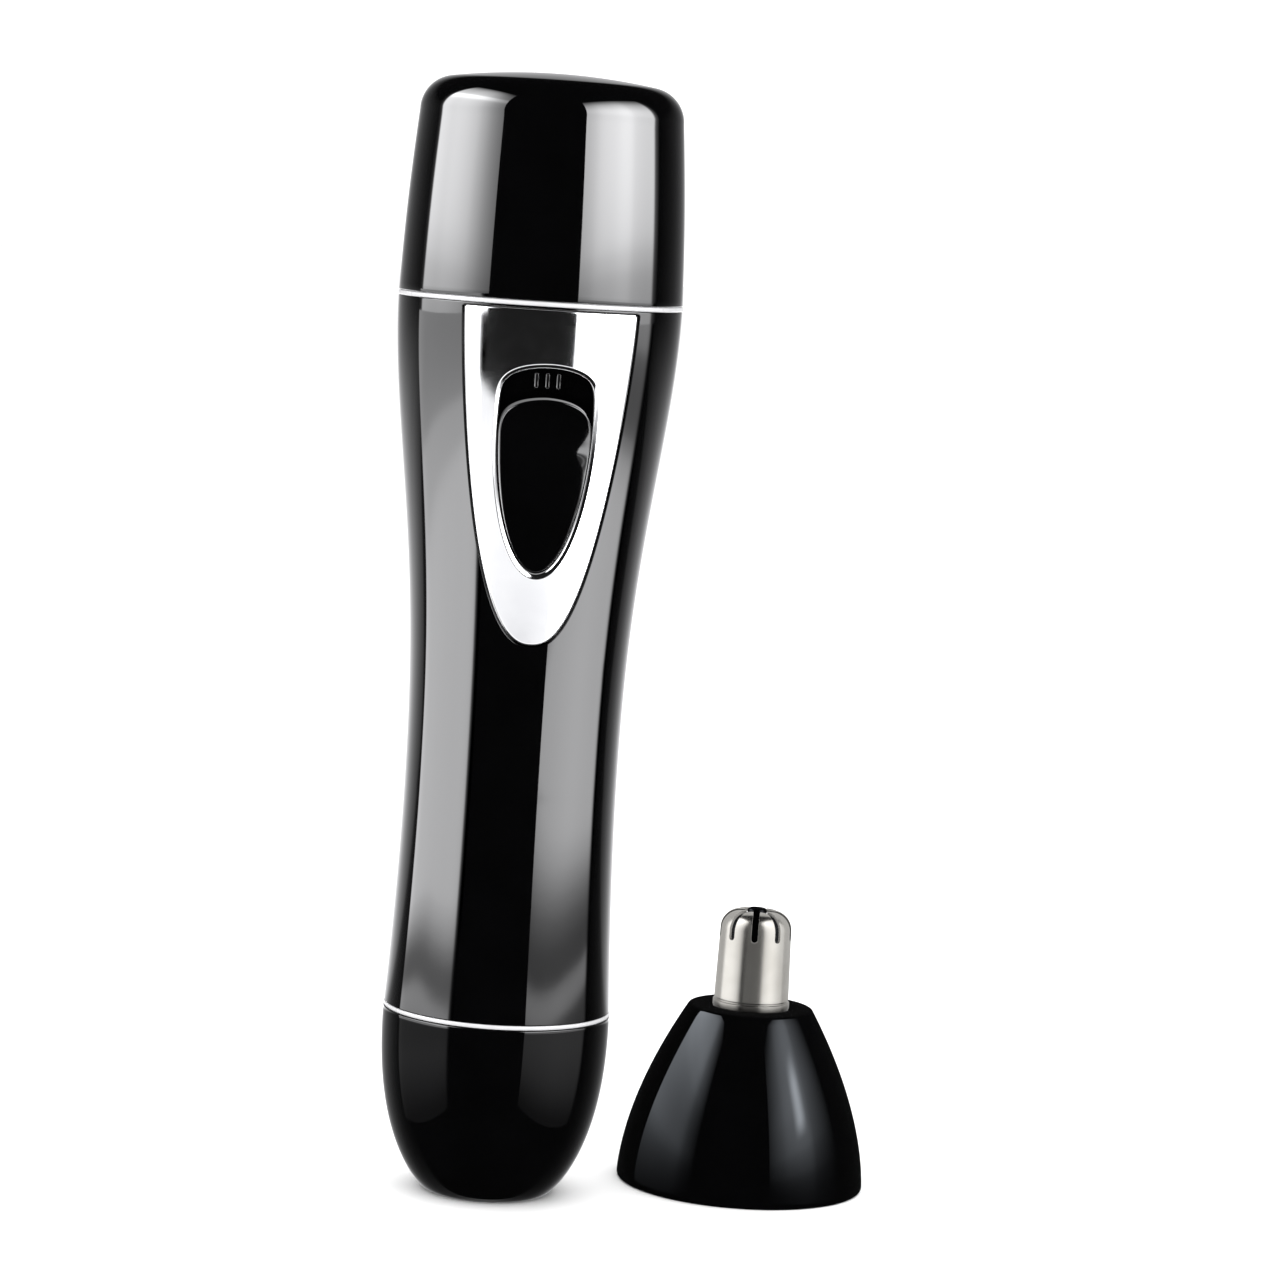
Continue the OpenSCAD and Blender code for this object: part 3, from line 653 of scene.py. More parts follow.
def between(first, second, t, depth):
    """A ring on the handle's surface part of the way between two rings."""
    return [front_point(mix(a[0], b[0], t), mix(a[2], b[2], t), depth) for a, b in zip(first, second)]


def body_shell():
    """The hourglass shell: a grid all round, opened at the front for the plate and the window."""
    bm = bmesh.new()
    lower = [SHELL_LOW_Z + 0.12 + d for d in (0, 0.25)] \
        + [mix(SHELL_LOW_Z + 0.9, FRONT_LOW_Z, i / 36) for i in range(36)]
    heights = lower + [front_row_z(r) for r in range(FRONT_ROWS + 1)]
    first_front = len(lower)

    def inner_radius(z):
        return BORE_R if z < BORE_TOP_Z else body_radius(z) - WALL

    def grid(radius):
        return [ring_of(bm, radius(z), z, (0, 0), COLUMNS) for z in heights]

    outer, inner = grid(body_radius), grid(inner_radius)
    for walls in (outer, inner):
        for row in range(len(heights) - 1):
            for c in range(COLUMNS):
                side = c if c < COLUMNS / 2 else c - COLUMNS
                if row >= first_front and -FRONT_COLUMNS <= side < FRONT_COLUMNS:
                    continue
                d = (c + 1) % COLUMNS
                bm.faces.new((walls[row][c], walls[row][d], walls[row + 1][d], walls[row + 1][c]))

    def rim(low_row, z, sign):
        """Rounds the outer edge of an end and closes it to the inner wall."""
        r_out, r_in, edge = body_radius(z), inner_radius(z), 0.12
        arc_rings = [ring_of(bm, r_out - edge * (1 - math.cos(a)), z - sign * edge * (1 - math.sin(a)),
                             (0, 0), COLUMNS) for a in (math.radians(x) for x in (30, 60, 90))]
        end = ring_of(bm, r_in, z, (0, 0), COLUMNS)
        for a, b in zip([outer[low_row]] + arc_rings + [end], arc_rings + [end, inner[low_row]]):
            stitch(bm, a, b)

    rim(0, SHELL_LOW_Z, -1)
    rim(-1, SHELL_TOP_Z, 1)
    edge_ring = plate_ring(PLATE_GROOVE + 0.10, 0)
    border_ring = [front_point(x, z) for x, z in BORDER_XZ]
    hole = [plate_ring(PLATE_GROOVE + 0.03, 0.03), plate_ring(PLATE_GROOVE, 0.10),
            plate_ring(PLATE_GROOVE, PLATE_T + 0.05)]
    hole += [window_ring(0.65, PLATE_T + 0.05), window_ring(0.65, WALL)]
    surface = [between(border_ring, edge_ring, t, 0) for t in (0.3, 0.55, 0.75, 0.9, 0.97)]
    rings = loft(bm, surface + [edge_ring] + hole)
    stitch(bm, [outer[first_front + r][c % COLUMNS] for r, c in BORDER], rings[0])
    stitch(bm, rings[-1], [inner[first_front + r][c % COLUMNS] for r, c in BORDER])
    true_normals(finish_mesh("body_shell_moulding", bm, "handle", "body_shell", GLOSS))


def true_normals(piece):
    """Gives every vertex on the handle's outline the exact normal of that outline."""
    normals = []
    for vertex in piece.data.vertices:
        x, y, z = (c / MM for c in vertex.co)
        r = math.hypot(x, y)
        if SHELL_LOW_Z < z < SHELL_TOP_Z and abs(r - body_radius(z)) < 0.002:
            slope = (body_radius(z + 0.01) - body_radius(z - 0.01)) / 0.02
            normals.append(Vector((x / r, y / r, -slope)).normalized())
        else:
            normals.append(Vector((0, 0, 0)))
    piece.data.normals_split_custom_set_from_vertices(normals)


def front_plate():
    """The chrome shield: bevelled window lip, crowned face and rounded outer edge."""
    bm = bmesh.new()
    lip = WINDOW_LIP
    inside = [window_ring(0.0, PLATE_T), window_ring(0.0, 0.42), window_ring(0.03, 0.32),
              window_ring(0.10, 0.26), window_ring(lip - 0.10, 0.04), window_ring(lip - 0.03, 0.008),
              window_ring(lip + 0.06, 0.0)]
    edge = plate_ring(-0.22, 0)
    face = [between(inside[-1], edge, t, 0) for t in (0.04, 0.12, 0.3, 0.5, 0.7, 0.88, 0.96)]
    outside = [edge, plate_ring(-0.12, 0.008), plate_ring(-0.035, 0.045), plate_ring(0, 0.13),
               plate_ring(0, PLATE_T)]
    made = loft(bm, inside + face + outside)
    stitch(bm, made[-1], made[0])
    for x, z in ((0, 75.5), (-8, 106.5), (8, 106.5)):
        stake(bm, x, z)
    true_normals(finish_mesh("front_plate_chrome", bm, "handle", "front_plate", CHROME))


def stake(bm, x, z):
    """A heat-stake peg behind the plate."""
    foot = front_point(x, z, PLATE_T)
    angles = [2 * math.pi * k / 24 for k in range(24)]
    rings = [[foot + np.array([r * math.sin(a), y, r * math.cos(a)]) for a in angles]
             for r, y in ((0.8, 0.02), (0.8, 1.2), (0.6, 1.4))]
    closed_loft(bm, rings)


def switch_well():
    """The black tub behind the window, with three short ribs above the button."""
    bm = bmesh.new()
    top = PLATE_T + 0.06
    rings = [window_ring(0.58, top), window_ring(0.05, top), window_ring(0.0, top + 0.05)]
    floor = [window_ring(offset, WELL_FLOOR - rise, flat_point)
             for offset, rise in ((0.0, 0.25), (-0.08, 0.06), (-0.3, 0))]
    made = loft(bm, rings + floor)
    middle_vertex = [bm.verts.new(tuple(flat_point(0, -3.5, WELL_FLOOR) * MM))]
    stitch(bm, made[-1], middle_vertex)
    under = loft(bm, [window_ring(0.58, WELL_FLOOR + 0.2, flat_point),
                      window_ring(0.4, WELL_FLOOR + 1.0, flat_point)])
    stitch(bm, made[0], under[0])
    stitch(bm, under[-1], [bm.verts.new(tuple(flat_point(0, -3.5, WELL_FLOOR + 1.0) * MM))])
    turn = Matrix.Rotation(FACE_TILT, 3, "X")
    for x in (-1.35, 0, 1.35):
        rounded_box(bm, flat_point(x, 4.85, WELL_FLOOR - 0.2), (0.42, 0.7, 1.7), 0.12, turn)
    finish_mesh("switch_well_tub", bm, "handle", "switch_well", BUTTON)


def button_height(x, s):
    """How far the button's face stands out from the handle's own surface."""
    flatter = x * x / 2 * (1 / 17.1 - 1 / BUTTON_CROWN_R)
    ridge = 0.20 * math.exp(-((s - DISH_UP + 3.6) / 1.5) ** 2) * (1 - (x / 6.2) ** 2)
    dish = 1 - (x / 5.1) ** 2 - ((s - DISH_UP) / 2.3) ** 2
    hollow = 0.5 * ease(min(dish, 1)) if dish > 0 else 0.0
    tail = 0.10 * ease(min(max((-s - 6) / 10, 0), 1))
    return flatter + ridge - hollow - tail - 0.30


def switch_button():
    """The slide button: thumb dish near its top, a ridge under it and a long rounded tail."""
    bm = bmesh.new()
    centre = (0, -3.5)
    rays = np.linspace(-math.pi, math.pi, 240, endpoint=False)
    rim = by_angle(BUTTON_OUTLINE, centre, rays)

    def ring_at(share, drop=0.0):
        points = [(mix(centre[0], x, share), mix(centre[1], s, share)) for x, s in rim]
        return [face_point(x, s, -button_height(x, s) + drop) for x, s in points]

    walls = [[face_point(x, s, 2.1) for x, s in rim], ring_at(1.0, 0.45), ring_at(1.0, 0.16),
             ring_at(0.996, 0.06), ring_at(0.988, 0.015)]
    made = loft(bm, walls + [ring_at(0.976)] + [ring_at(1 - i / 48) for i in range(2, 47)])
    stitch(bm, made[-1], [bm.verts.new(tuple(face_point(*centre, -button_height(*centre)) * MM))])
    stitch(bm, made[0], [bm.verts.new(tuple(face_point(*centre, 2.1) * MM))])
    turn = Matrix.Rotation(FACE_TILT, 3, "X")
    rounded_box(bm, flat_point(0, -4.5, 3.14), (3.4, 2.29, 5.4), 0.2, turn)
    finish_mesh("slide_button", bm, "switch", "switch_button", BUTTON, 50)


# ---- neck, drive and battery ------------------------------------------------

def neck():
    plug, rim, foot, deck_z = COLLAR_R - 0.2, 14.0, 108.0, COLLAR_TOP_Z - WALL
    wall, bore, tower, tower_z = 1.4, 2.7, 5.4, 121.0
    seat, seat_low, seat_high = 4.0, 113.0, 120.6
    profile = rounded([(rim, foot, 0.2), (plug, foot, 0.3), (plug, SHELL_TOP_Z), (COLLAR_R, SHELL_TOP_Z),
                       (COLLAR_R, COLLAR_TOP_Z, 0.45), (NECK_R, COLLAR_TOP_Z, 0.3),
                       (NECK_R, NECK_TOP_Z, 0.4), (bore, NECK_TOP_Z, 0.25), (bore, NECK_TOP_Z - wall),
                       (NECK_R - wall, NECK_TOP_Z - wall), (NECK_R - wall, COLLAR_TOP_Z),
                       (tower, COLLAR_TOP_Z), (tower, tower_z), (bore, tower_z), (bore, seat_high),
                       (seat, seat_high), (seat, seat_low), (tower, seat_low), (tower, deck_z),
                       (rim, deck_z)], 5)
    bm = bmesh.new()
    lathe(bm, profile, segments=192)
    screw_r, boss_r, boss_foot = 0.85, 2.2, 100.2
    for side in (-1, 1):
        boss = [(screw_r, boss_foot), (boss_r, boss_foot, 0.2), (boss_r, deck_z), (screw_r, deck_z)]
        lathe(bm, rounded(boss, 3), (side * 10.5, 0), 48)
    for k in range(3):
        spoke(bm, NECK_R - 0.15, 60 + 120 * k, COLLAR_TOP_Z + 0.5, (2.4, 0.6, 1.0), 0.2)
    finish_mesh("neck_deck_moulding", bm, "handle", "neck_deck", INNER)
    bush_r, low_z, high_z, hole = 3.99, 114.0, 120.5, 2.34
    bush = rounded([(hole, low_z), (bush_r, low_z), (bush_r, high_z, 0.2), (hole, high_z, 0.2)], 3)
    turned("neck_bush_bronze", bush, "handle", "neck_bush", BRONZE, segments=96)


def spindle():
    """The steel spindle: bearing part, thinner drive end and a flat tongue at its tip."""
    bottom, top, r = low("drive_spindle").z, high("drive_spindle").z, high("drive_spindle").x
    shoulder, step = top - 2.5, NECK_TOP_Z + 0.2
    bm = bmesh.new()
    profile = rounded([(0, bottom), (r, bottom, 0.2), (r, step, 0.12), (2.0, step, 0.08),
                       (2.0, shoulder, 0.25), (0, shoulder)], 4)
    lathe(bm, profile, segments=96)
    rounded_box(bm, (0, 0, mix(shoulder, top, 0.5) - 0.05), (1.6, 3.4, top - shoulder + 0.1), 0.18)
    finish_mesh("drive_spindle_steel", bm, "drive", "drive_spindle", SHAFT)


def battery():
    z0, z1 = low("battery_cell").z, high("battery_cell").z
    can_r, rim, shoulder, nub_r = 7.1, z1 - 1.0, z1 - 1.4, 2.75
    can = rounded([(0, z0), (5.2, z0, 0.3), (5.6, z0 + 0.35, 0.2), (6.2, z0 + 0.35, 0.2), (6.5, z0, 0.2),
                   (can_r, z0, 0.4), (can_r, rim, 0.4), (6.2, rim, 0.15), (5.9, shoulder, 0.2),
                   (3.4, shoulder, 0.2), (nub_r, z1 - 0.9, 0.2), (nub_r, z1, 0.35), (0, z1)], 4)
    turned("battery_can", can, "battery", "battery_cell", CELL, segments=128)
    z2, z3 = low("battery_sleeve").z, high("battery_sleeve").z
    sleeve_r = 7.25
    sleeve = rounded([(can_r, z2), (sleeve_r, z2, 0.07), (sleeve_r, z3, 0.07), (can_r, z3)], 3)
    turned("battery_shrink_sleeve", sleeve, "battery", "battery_sleeve", SLEEVE, segments=128)


def battery_cap_inside():
    bm = bmesh.new()
    guide_in, guide_out, top = 7.6, 8.6, 33.0
    guide = rounded([(guide_in, 6.0), (guide_out, 6.0, 0.2), (guide_out, top, 0.25), (guide_in, top, 0.35)],
                    4)
    inside, outside, flange, groove, foot = 10.7, 11.7, 12.5, 11.1, 13.0
    spigot = rounded([(inside, foot), (outside, foot), (outside, 17.0), (flange, 17.0, 0.2),
                      (flange, 22.6, 0.2), (outside, 22.6), (outside, 26.6, 0.1), (groove, 26.6),
                      (groove, 27.4), (outside, 27.4, 0.1), (outside, top, 0.4), (inside, top, 0.2)], 4)
    lathe(bm, guide)
    lathe(bm, spigot)
    lathe(bm, [(8.5, foot), (10.8, foot), (10.8, 14.2), (8.5, 14.2)])
    for k in range(6):
        spoke(bm, 9.65, 30 + 60 * k, 22.0, (0.9, 2.3, 17.0), 0.1)
    finish_mesh("cap_insert_moulding", bm, "battery_cap", "cap_insert", INNER)
    wire_r = (high("seal_ring").z - low("seal_ring").z) / 2
    seal = arc(high("seal_ring").x - wire_r, middle("seal_ring").z, wire_r, 0, 345, 23)
    turned("seal_ring_rubber", seal, "battery_cap", "seal_ring", RUBBER)


def coil(name, body, node, wire_r, radii, turns, steps, centre=(0, 0), rise=ease):
    """A wire spring as tall as its node, running from one radius to another."""
    z0, z1 = low(node).z + wire_r, high(node).z - wire_r
    path = []
    for i in range(steps + 1):
        u = i / steps
        a, r = 2 * math.pi * turns * u, mix(*radii, u)
        path.append((centre[0] + r * math.cos(a), centre[1] + r * math.sin(a), mix(z0, z1, rise(u))))
    bm = bmesh.new()
    wire(bm, path, wire_r)
    finish_mesh(name, bm, body, node, SPRING)


def springs():
    coil("battery_spring_wire", "battery_cap", "battery_spring", 0.35, (5.4, 2.6), 3.5, 180)
    coil("cutter_spring_wire", "head", "cutter_spring", 0.25, (4.4, 4.4), 5, 240, HEAD_AXIS, lambda u: u)


# ---- trimmer head -----------------------------------------------------------

def head_shell():
    outer = curve(head_radius, 0.9, HEAD_H - 0.9, 44)
    inner = curve(lambda z: head_radius(z) - HEAD_WALL, 0.8, HEAD_H - HEAD_WALL, 16)
    profile = rounded(
        [(HEAD_R - HEAD_WALL, 0, 0.3), (HEAD_R, 0, 0.45)] + outer
        + [(HEAD_TOP_R, HEAD_H, 0.45), (GUARD_R + 0.14, HEAD_H, 0.12), (GUARD_R + 0.14, HEAD_H - HEAD_WALL)]
        + inner[::-1], 6)
    turned("head_bell", profile, "head", "head_shell", GLOSS, HEAD_AXIS, 256)


def head_socket():
    r, hole, web_low, web_high = 9.08, 3.9, 8.3, 9.8
    flange = high("head_socket").x - HEAD_X
    profile = rounded([(r, 0.3, 0.3), (r + 1.5, 0.3, 0.25), (r + 1.5, web_low, 0.3), (flange, web_low),
                       (flange, web_high), (hole, web_high, 0.2), (hole, web_low, 0.2), (r, web_low, 0.3)], 5)
    bm = bmesh.new()
    lathe(bm, profile, HEAD_AXIS, 192)
    for k in range(8):
        spoke(bm, mix(r + 1.4, flange, 0.5), 22.5 + 45 * k, 5.9, (0.9, flange - r - 1.4, 4.9), 0.12,
              HEAD_AXIS)
    finish_mesh("head_socket_moulding", bm, "head", "head_socket", INNER)


def slot_half(z):
    """Half width of a slot: a round lower end, then straight."""
    rise = z - SLOT_FOOT_Z
    if rise <= 0:
        return 0.0
    radius = SLOT_W / 2
    return radius if rise >= radius else math.sqrt(radius ** 2 - (radius - rise) ** 2)


def guard_profile(inset):
    """The thimble's outer profile, or its inner one at an inset, from its foot to the hole in its dome."""
    rises = [SLOT_FOOT_Z + SLOT_W / 2 * (1 - math.cos(math.pi / 2 * k / 6)) for k in range(7)]
    stations = [HEAD_H + 1.2 + (SLOT_FOOT_Z - HEAD_H - 1.2) * i / 12 for i in range(12)] + rises
    stations += [mix(rises[-1], GUARD_CORNER_Z, i / 4) for i in range(1, 4)]
    profile = [(mix(GUARD_R, GUARD_TIP_R, (z - HEAD_H) / (GUARD_CORNER_Z - HEAD_H)) - inset, z)
               for z in stations]
    profile += arc(GUARD_TIP_R - GUARD_CORNER_R, GUARD_CORNER_Z, GUARD_CORNER_R - inset, 0, 84, 18)
    end_r, end_z = profile[-1]
    return profile + [(mix(end_r, HUB_HOLE_R, i / 3), mix(end_z, GUARD_TOP_Z - 0.05 - inset, i / 3))
                      for i in range(1, 4)]


def guard_tube():
    """The steel thimble: nine fingers that split above the slots' feet and end at the hub's hole."""
    outer, inner = guard_profile(0), guard_profile(GUARD_T)
    columns = 20
    bm = bmesh.new()

    def finger_grid(profile, index):
        grid = []
        for r, z in profile:
            reach = math.radians(180 / SLOTS) - math.asin(min(1, slot_half(z) / r))
            centre = math.radians(SLOT_TURN + 360 / SLOTS * (index + 0.5))
            grid.append([bm.verts.new(spot(r, centre + mix(-reach, reach, k / columns), z, HEAD_AXIS))
                         for k in range(columns + 1)])
        return grid

    for index in range(SLOTS):
        skins = [finger_grid(outer, index), finger_grid(inner, index)]
        for grid in skins:
            for a, b in zip(grid, grid[1:]):
                for k in range(columns):
                    bm.faces.new((a[k], a[k + 1], b[k + 1], b[k]))
        for row, (r, z) in enumerate(outer[:-1]):
            if slot_half(outer[row + 1][1]) > 0 and z >= SLOT_FOOT_Z - 1e-6:
                for k in (0, columns):
                    bm.faces.new((skins[0][row][k], skins[0][row + 1][k], skins[1][row + 1][k],
                                  skins[1][row][k]))
        for k in range(columns):
            bm.faces.new((skins[0][-1][k], skins[0][-1][k + 1], skins[1][-1][k + 1], skins[1][-1][k]))
    bmesh.ops.remove_doubles(bm, verts=bm.verts, dist=1e-7)
    joint_r, joint_z = outer[0]
    inner_r, lip_r, lip_low, lip_high = inner[0][0], 6.4, 20.9, 21.65
    collar = rounded([(inner_r, joint_z), (inner_r, lip_low), (lip_r, lip_low), (lip_r, lip_high),
                      (GUARD_R, lip_high),
                      (GUARD_R, HEAD_H + 0.02), (GUARD_R + 0.10, HEAD_H + 0.06, 0.04),
                      (GUARD_R + 0.10, HEAD_H + 0.76, 0.06), (GUARD_R - 0.07, HEAD_H + 0.86, 0.04),
                      (GUARD_R - 0.07, HEAD_H + 1.04, 0.04), (joint_r, joint_z - 0.05, 0.04),
                      (joint_r, joint_z)], 3)
    rings = [ring_of(bm, r, z, HEAD_AXIS, SLOTS * columns, math.radians(SLOT_TURN)) for r, z in collar]
    for a, b in zip(rings, rings[1:]):
        stitch(bm, a, b)
    bmesh.ops.remove_doubles(bm, verts=bm.verts, dist=2e-7)
    piece = finish_mesh("guard_tube_steel", bm, "head", "guard_tube", STEEL, 40)
    bevel = piece.modifiers.new("soft_edges", "BEVEL")
    bevel.width = 0.05 * MM
    bevel.segments = 2
    bevel.limit_method = "ANGLE"
    bevel.angle_limit = math.radians(50)


def cutter():
    r, foot, tip_r, step, tip_z = 1.7, 29.5, 1.25, 35.1, high("cutter_hub").z
    hub = rounded([(0, foot), (r, foot, 0.2), (r, step, 0.1), (tip_r, step), (tip_r, tip_z, 0.35),
                   (0, tip_z)], 5)
    turned("cutter_hub_tip", hub, "cutter", "cutter_hub", BUTTON, HEAD_AXIS, 96)


# ---- CAD pieces that keep their shape and get a finish ------------------------

CARRIED = {                                 # by the studio set that lights them
    "handle": {
        "spring_plate": NICKEL, "chassis": NATURAL, "chassis_screws": SCREW, "positive_contact": BRASS,
        "negative_strip": BRASS, "switch_contacts": BRASS, "motor_can": MOTOR, "motor_magnets": MAGNET,
        "motor_end_cap": NATURAL, "motor_terminals": BRASS, "motor_cushion": RUBBER,
        "switch_carriage": NATURAL, "switch_wiper": BRASS, "motor_shaft": SHAFT, "motor_rotor": COPPER,
        "shaft_coupler": NATURAL},
    "head": {
        "tube_retainer": INNER, "cutter_bush": BRONZE, "thrust_washer": NATURAL, "cutter_blade": BLADE,
        "cutter_shaft": SHAFT, "drive_dog": NATURAL},
}


def finish_carried():
    for group, finishes in CARRIED.items():
        for node, material in finishes.items():
            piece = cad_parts[node]
            if not piece.material_slots:
                piece.data.materials.append(material)
            for holder in piece.material_slots:
                holder.material = material
            lit[group].append(piece)


# ---- stage, light and camera --------------------------------------------------

CAMERA_DISTANCE = 525.0                     # from the handle's axis, level
CAMERA_HEIGHT = 125.75
CAMERA_AZIMUTH = -5.7                       # degrees; the camera stands to the handle's left
CAMERA_AIM = 1.54                           # degrees from the handle's axis, towards the head
CAMERA_PITCH = 5.83
CAMERA_ROLL = 3.75
FRAME_PX = 1265
FOCAL_PX = 4200
SENSOR = 36.0


def make_camera():
    data = bpy.data.cameras.new("camera")
    data.sensor_width = SENSOR
    data.lens = SENSOR * FOCAL_PX / FRAME_PX
    data.clip_start = 0.01
    data.clip_end = 50
    camera = add_object("camera", data)
    azimuth = math.radians(CAMERA_AZIMUTH)
    camera.location = Vector((math.sin(azimuth) * CAMERA_DISTANCE, -math.cos(azimuth) * CAMERA_DISTANCE,
                              CAMERA_HEIGHT)) * MM
    heading = azimuth - math.radians(CAMERA_AIM)
    pitch, roll = math.radians(CAMERA_PITCH), math.radians(CAMERA_ROLL)
    ahead = Vector((-math.sin(heading) * math.cos(pitch), math.cos(heading) * math.cos(pitch),
                    -math.sin(pitch)))
    level = ahead.cross(Vector((0, 0, 1))).normalized()
    upright = level.cross(ahead)
    up = upright * math.cos(roll) - level * math.sin(roll)
    right = level * math.cos(roll) + upright * math.sin(roll)
    camera.rotation_mode = "QUATERNION"
    camera.rotation_quaternion = Matrix((right, up, -ahead)).transposed().to_quaternion()
    bpy.context.scene.camera = camera


def make_floor():
    material, tree, shader = new_material("floor_paper", (0.9, 0.9, 0.9), 0, 0.9)
    tint(tree, shader, noise(tree, 3), (0.90, 0.90, 0.90), (0.92, 0.92, 0.92))
    bm = bmesh.new()
    bmesh.ops.create_grid(bm, x_segments=4, y_segments=4, size=6.0)
    mesh = bpy.data.meshes.new("floor")
    bm.to_mesh(mesh)
    bm.free()
    mesh.materials.append(material)
    floor = add_object("floor", mesh)
    floor.visible_glossy = False
    floor.visible_shadow = False


def make_world():
    """White paper all round for the floor and diffuse light; the gloss sees a dark room instead."""
    world = bpy.data.worlds.new("studio")
    bpy.context.scene.world = world
    world.use_nodes = True
    world.cycles.sampling_method = "NONE"
    tree = world.node_tree
    room = tree.nodes.new("ShaderNodeBackground")
    room.inputs["Color"].default_value = (1, 1, 1, 1)
    room.inputs["Strength"].default_value = 0.012
    paper = tree.nodes["Background"]
    paper.inputs["Color"].default_value = (1, 1, 1, 1)
    paper.inputs["Strength"].default_value = 1.25
    path = tree.nodes.new("ShaderNodeLightPath")
    choose = tree.nodes.new("ShaderNodeMixShader")
    tree.links.new(path.outputs["Is Glossy Ray"], choose.inputs["Fac"])
    tree.links.new(paper.outputs[0], choose.inputs[1])
    tree.links.new(room.outputs[0], choose.inputs[2])
    tree.links.new(choose.outputs[0], tree.nodes["World Output"].inputs["Surface"])


def area_light(name, width_m, height_m, energy):
    data = bpy.data.lights.new(name, "AREA")
    data.shape = "RECTANGLE"
    data.size, data.size_y, data.energy = width_m, height_m, energy
    light = add_object(name, data)
    light.visible_camera = False
    return light


def softbox(name, facing, half, distance, heights, sides, pieces, peak=None, colour=(0.985, 0.985, 1.0),
            bow=(0, 0)):
    """An upright rectangular light round the handle that shines on some pieces only.

    facing is the azimuth it stands at and half its half width, both in degrees. heights and
    sides are its brightness along height and along the degrees from its middle line; peak is an
    optional narrow brighter column as (offset, half width, level, low height, high height); bow
    is how far the bands of brightness sag at the two sides.
    """
    low_z, high_z = heights[0][0], heights[-1][0]
    width_m, height_m = 2 * distance * math.tan(math.radians(half)) * MM, (high_z - low_z) * MM
    light = area_light(name, width_m, height_m, 4 * width_m * height_m)
    data = light.data
    data.color = colour
    turn = math.radians(facing)
    light.location = Vector((distance * math.sin(turn), -distance * math.cos(turn),
                             mix(low_z, high_z, 0.5))) * MM
    light.rotation_euler = (math.radians(90), 0, turn)
    light.visible_diffuse = False
    data.use_nodes = True
    tree = data.node_tree
    maths = Maths(tree)
    place = tree.nodes.new("ShaderNodeNewGeometry")
    split = tree.nodes.new("ShaderNodeSeparateXYZ")
    tree.links.new(place.outputs["Position"], split.inputs[0])
    x, y, z = split.outputs
    side, front = math.sin(turn), math.cos(turn)
    ahead = maths.do("SUBTRACT", maths.do("MULTIPLY", x, side), maths.do("MULTIPLY", y, front))
    across = maths.do("ADD", maths.do("MULTIPLY", x, front), maths.do("MULTIPLY", y, side))
    offset = maths.do("DEGREES", maths.do("ARCTAN2", across, ahead))
    height = maths.do("MULTIPLY", z, 1 / MM)
    for pick, depth in zip(("MINIMUM", "MAXIMUM"), bow):
        away = maths.do("ABSOLUTE", maths.do(pick, offset, 0))
        height = maths.do("ADD", height, maths.do("MULTIPLY", maths.do("POWER", away, 2), depth / half ** 2))
    level = maths.do("MULTIPLY", maths.profile(height, heights), maths.profile(offset, sides))
    if peak:
        at, reach, bright, peak_low, peak_high = peak
        off = maths.do("ABSOLUTE", maths.do("SUBTRACT", offset, at))
        column = maths.do("MULTIPLY", maths.step(off, reach, 0), bright)
        rise = maths.do("MULTIPLY", maths.step(height, peak_low, mix(peak_low, peak_high, 0.25)),
                        maths.step(height, peak_high, mix(peak_low, peak_high, 0.55)))
        level = maths.do("ADD", level, maths.do("MULTIPLY", column, rise))
    tree.links.new(level, tree.nodes["Emission"].inputs["Strength"])
    shone_on = bpy.data.collections.new(name + "_pieces")
    for piece in pieces:
        shone_on.objects.link(piece)
    light.light_linking.receiver_collection = shone_on


LEFT = (-82.7, 36.0)                        # facing and half width of the softboxes on each side
RIGHT = (60.8, 37.5)
SPLIT_Z = 100                               # where the upper pair stands on the lower pair
NEAR, FAR = 200, 400                        # how far the handle's and the head's softboxes stand


def even(half, *levels):
    """Brightness stations spread evenly from one side of a softbox to the other."""
    return [(mix(-half, half, i / (len(levels) - 1)), level) for i, level in enumerate(levels)]


def clear_gloss():
    """The handle and the loose head were lit apart, so neither is seen in the other's gloss."""
    for piece in lit["handle"] + lit["head"] + lit["tube"]:
        piece.visible_glossy = False


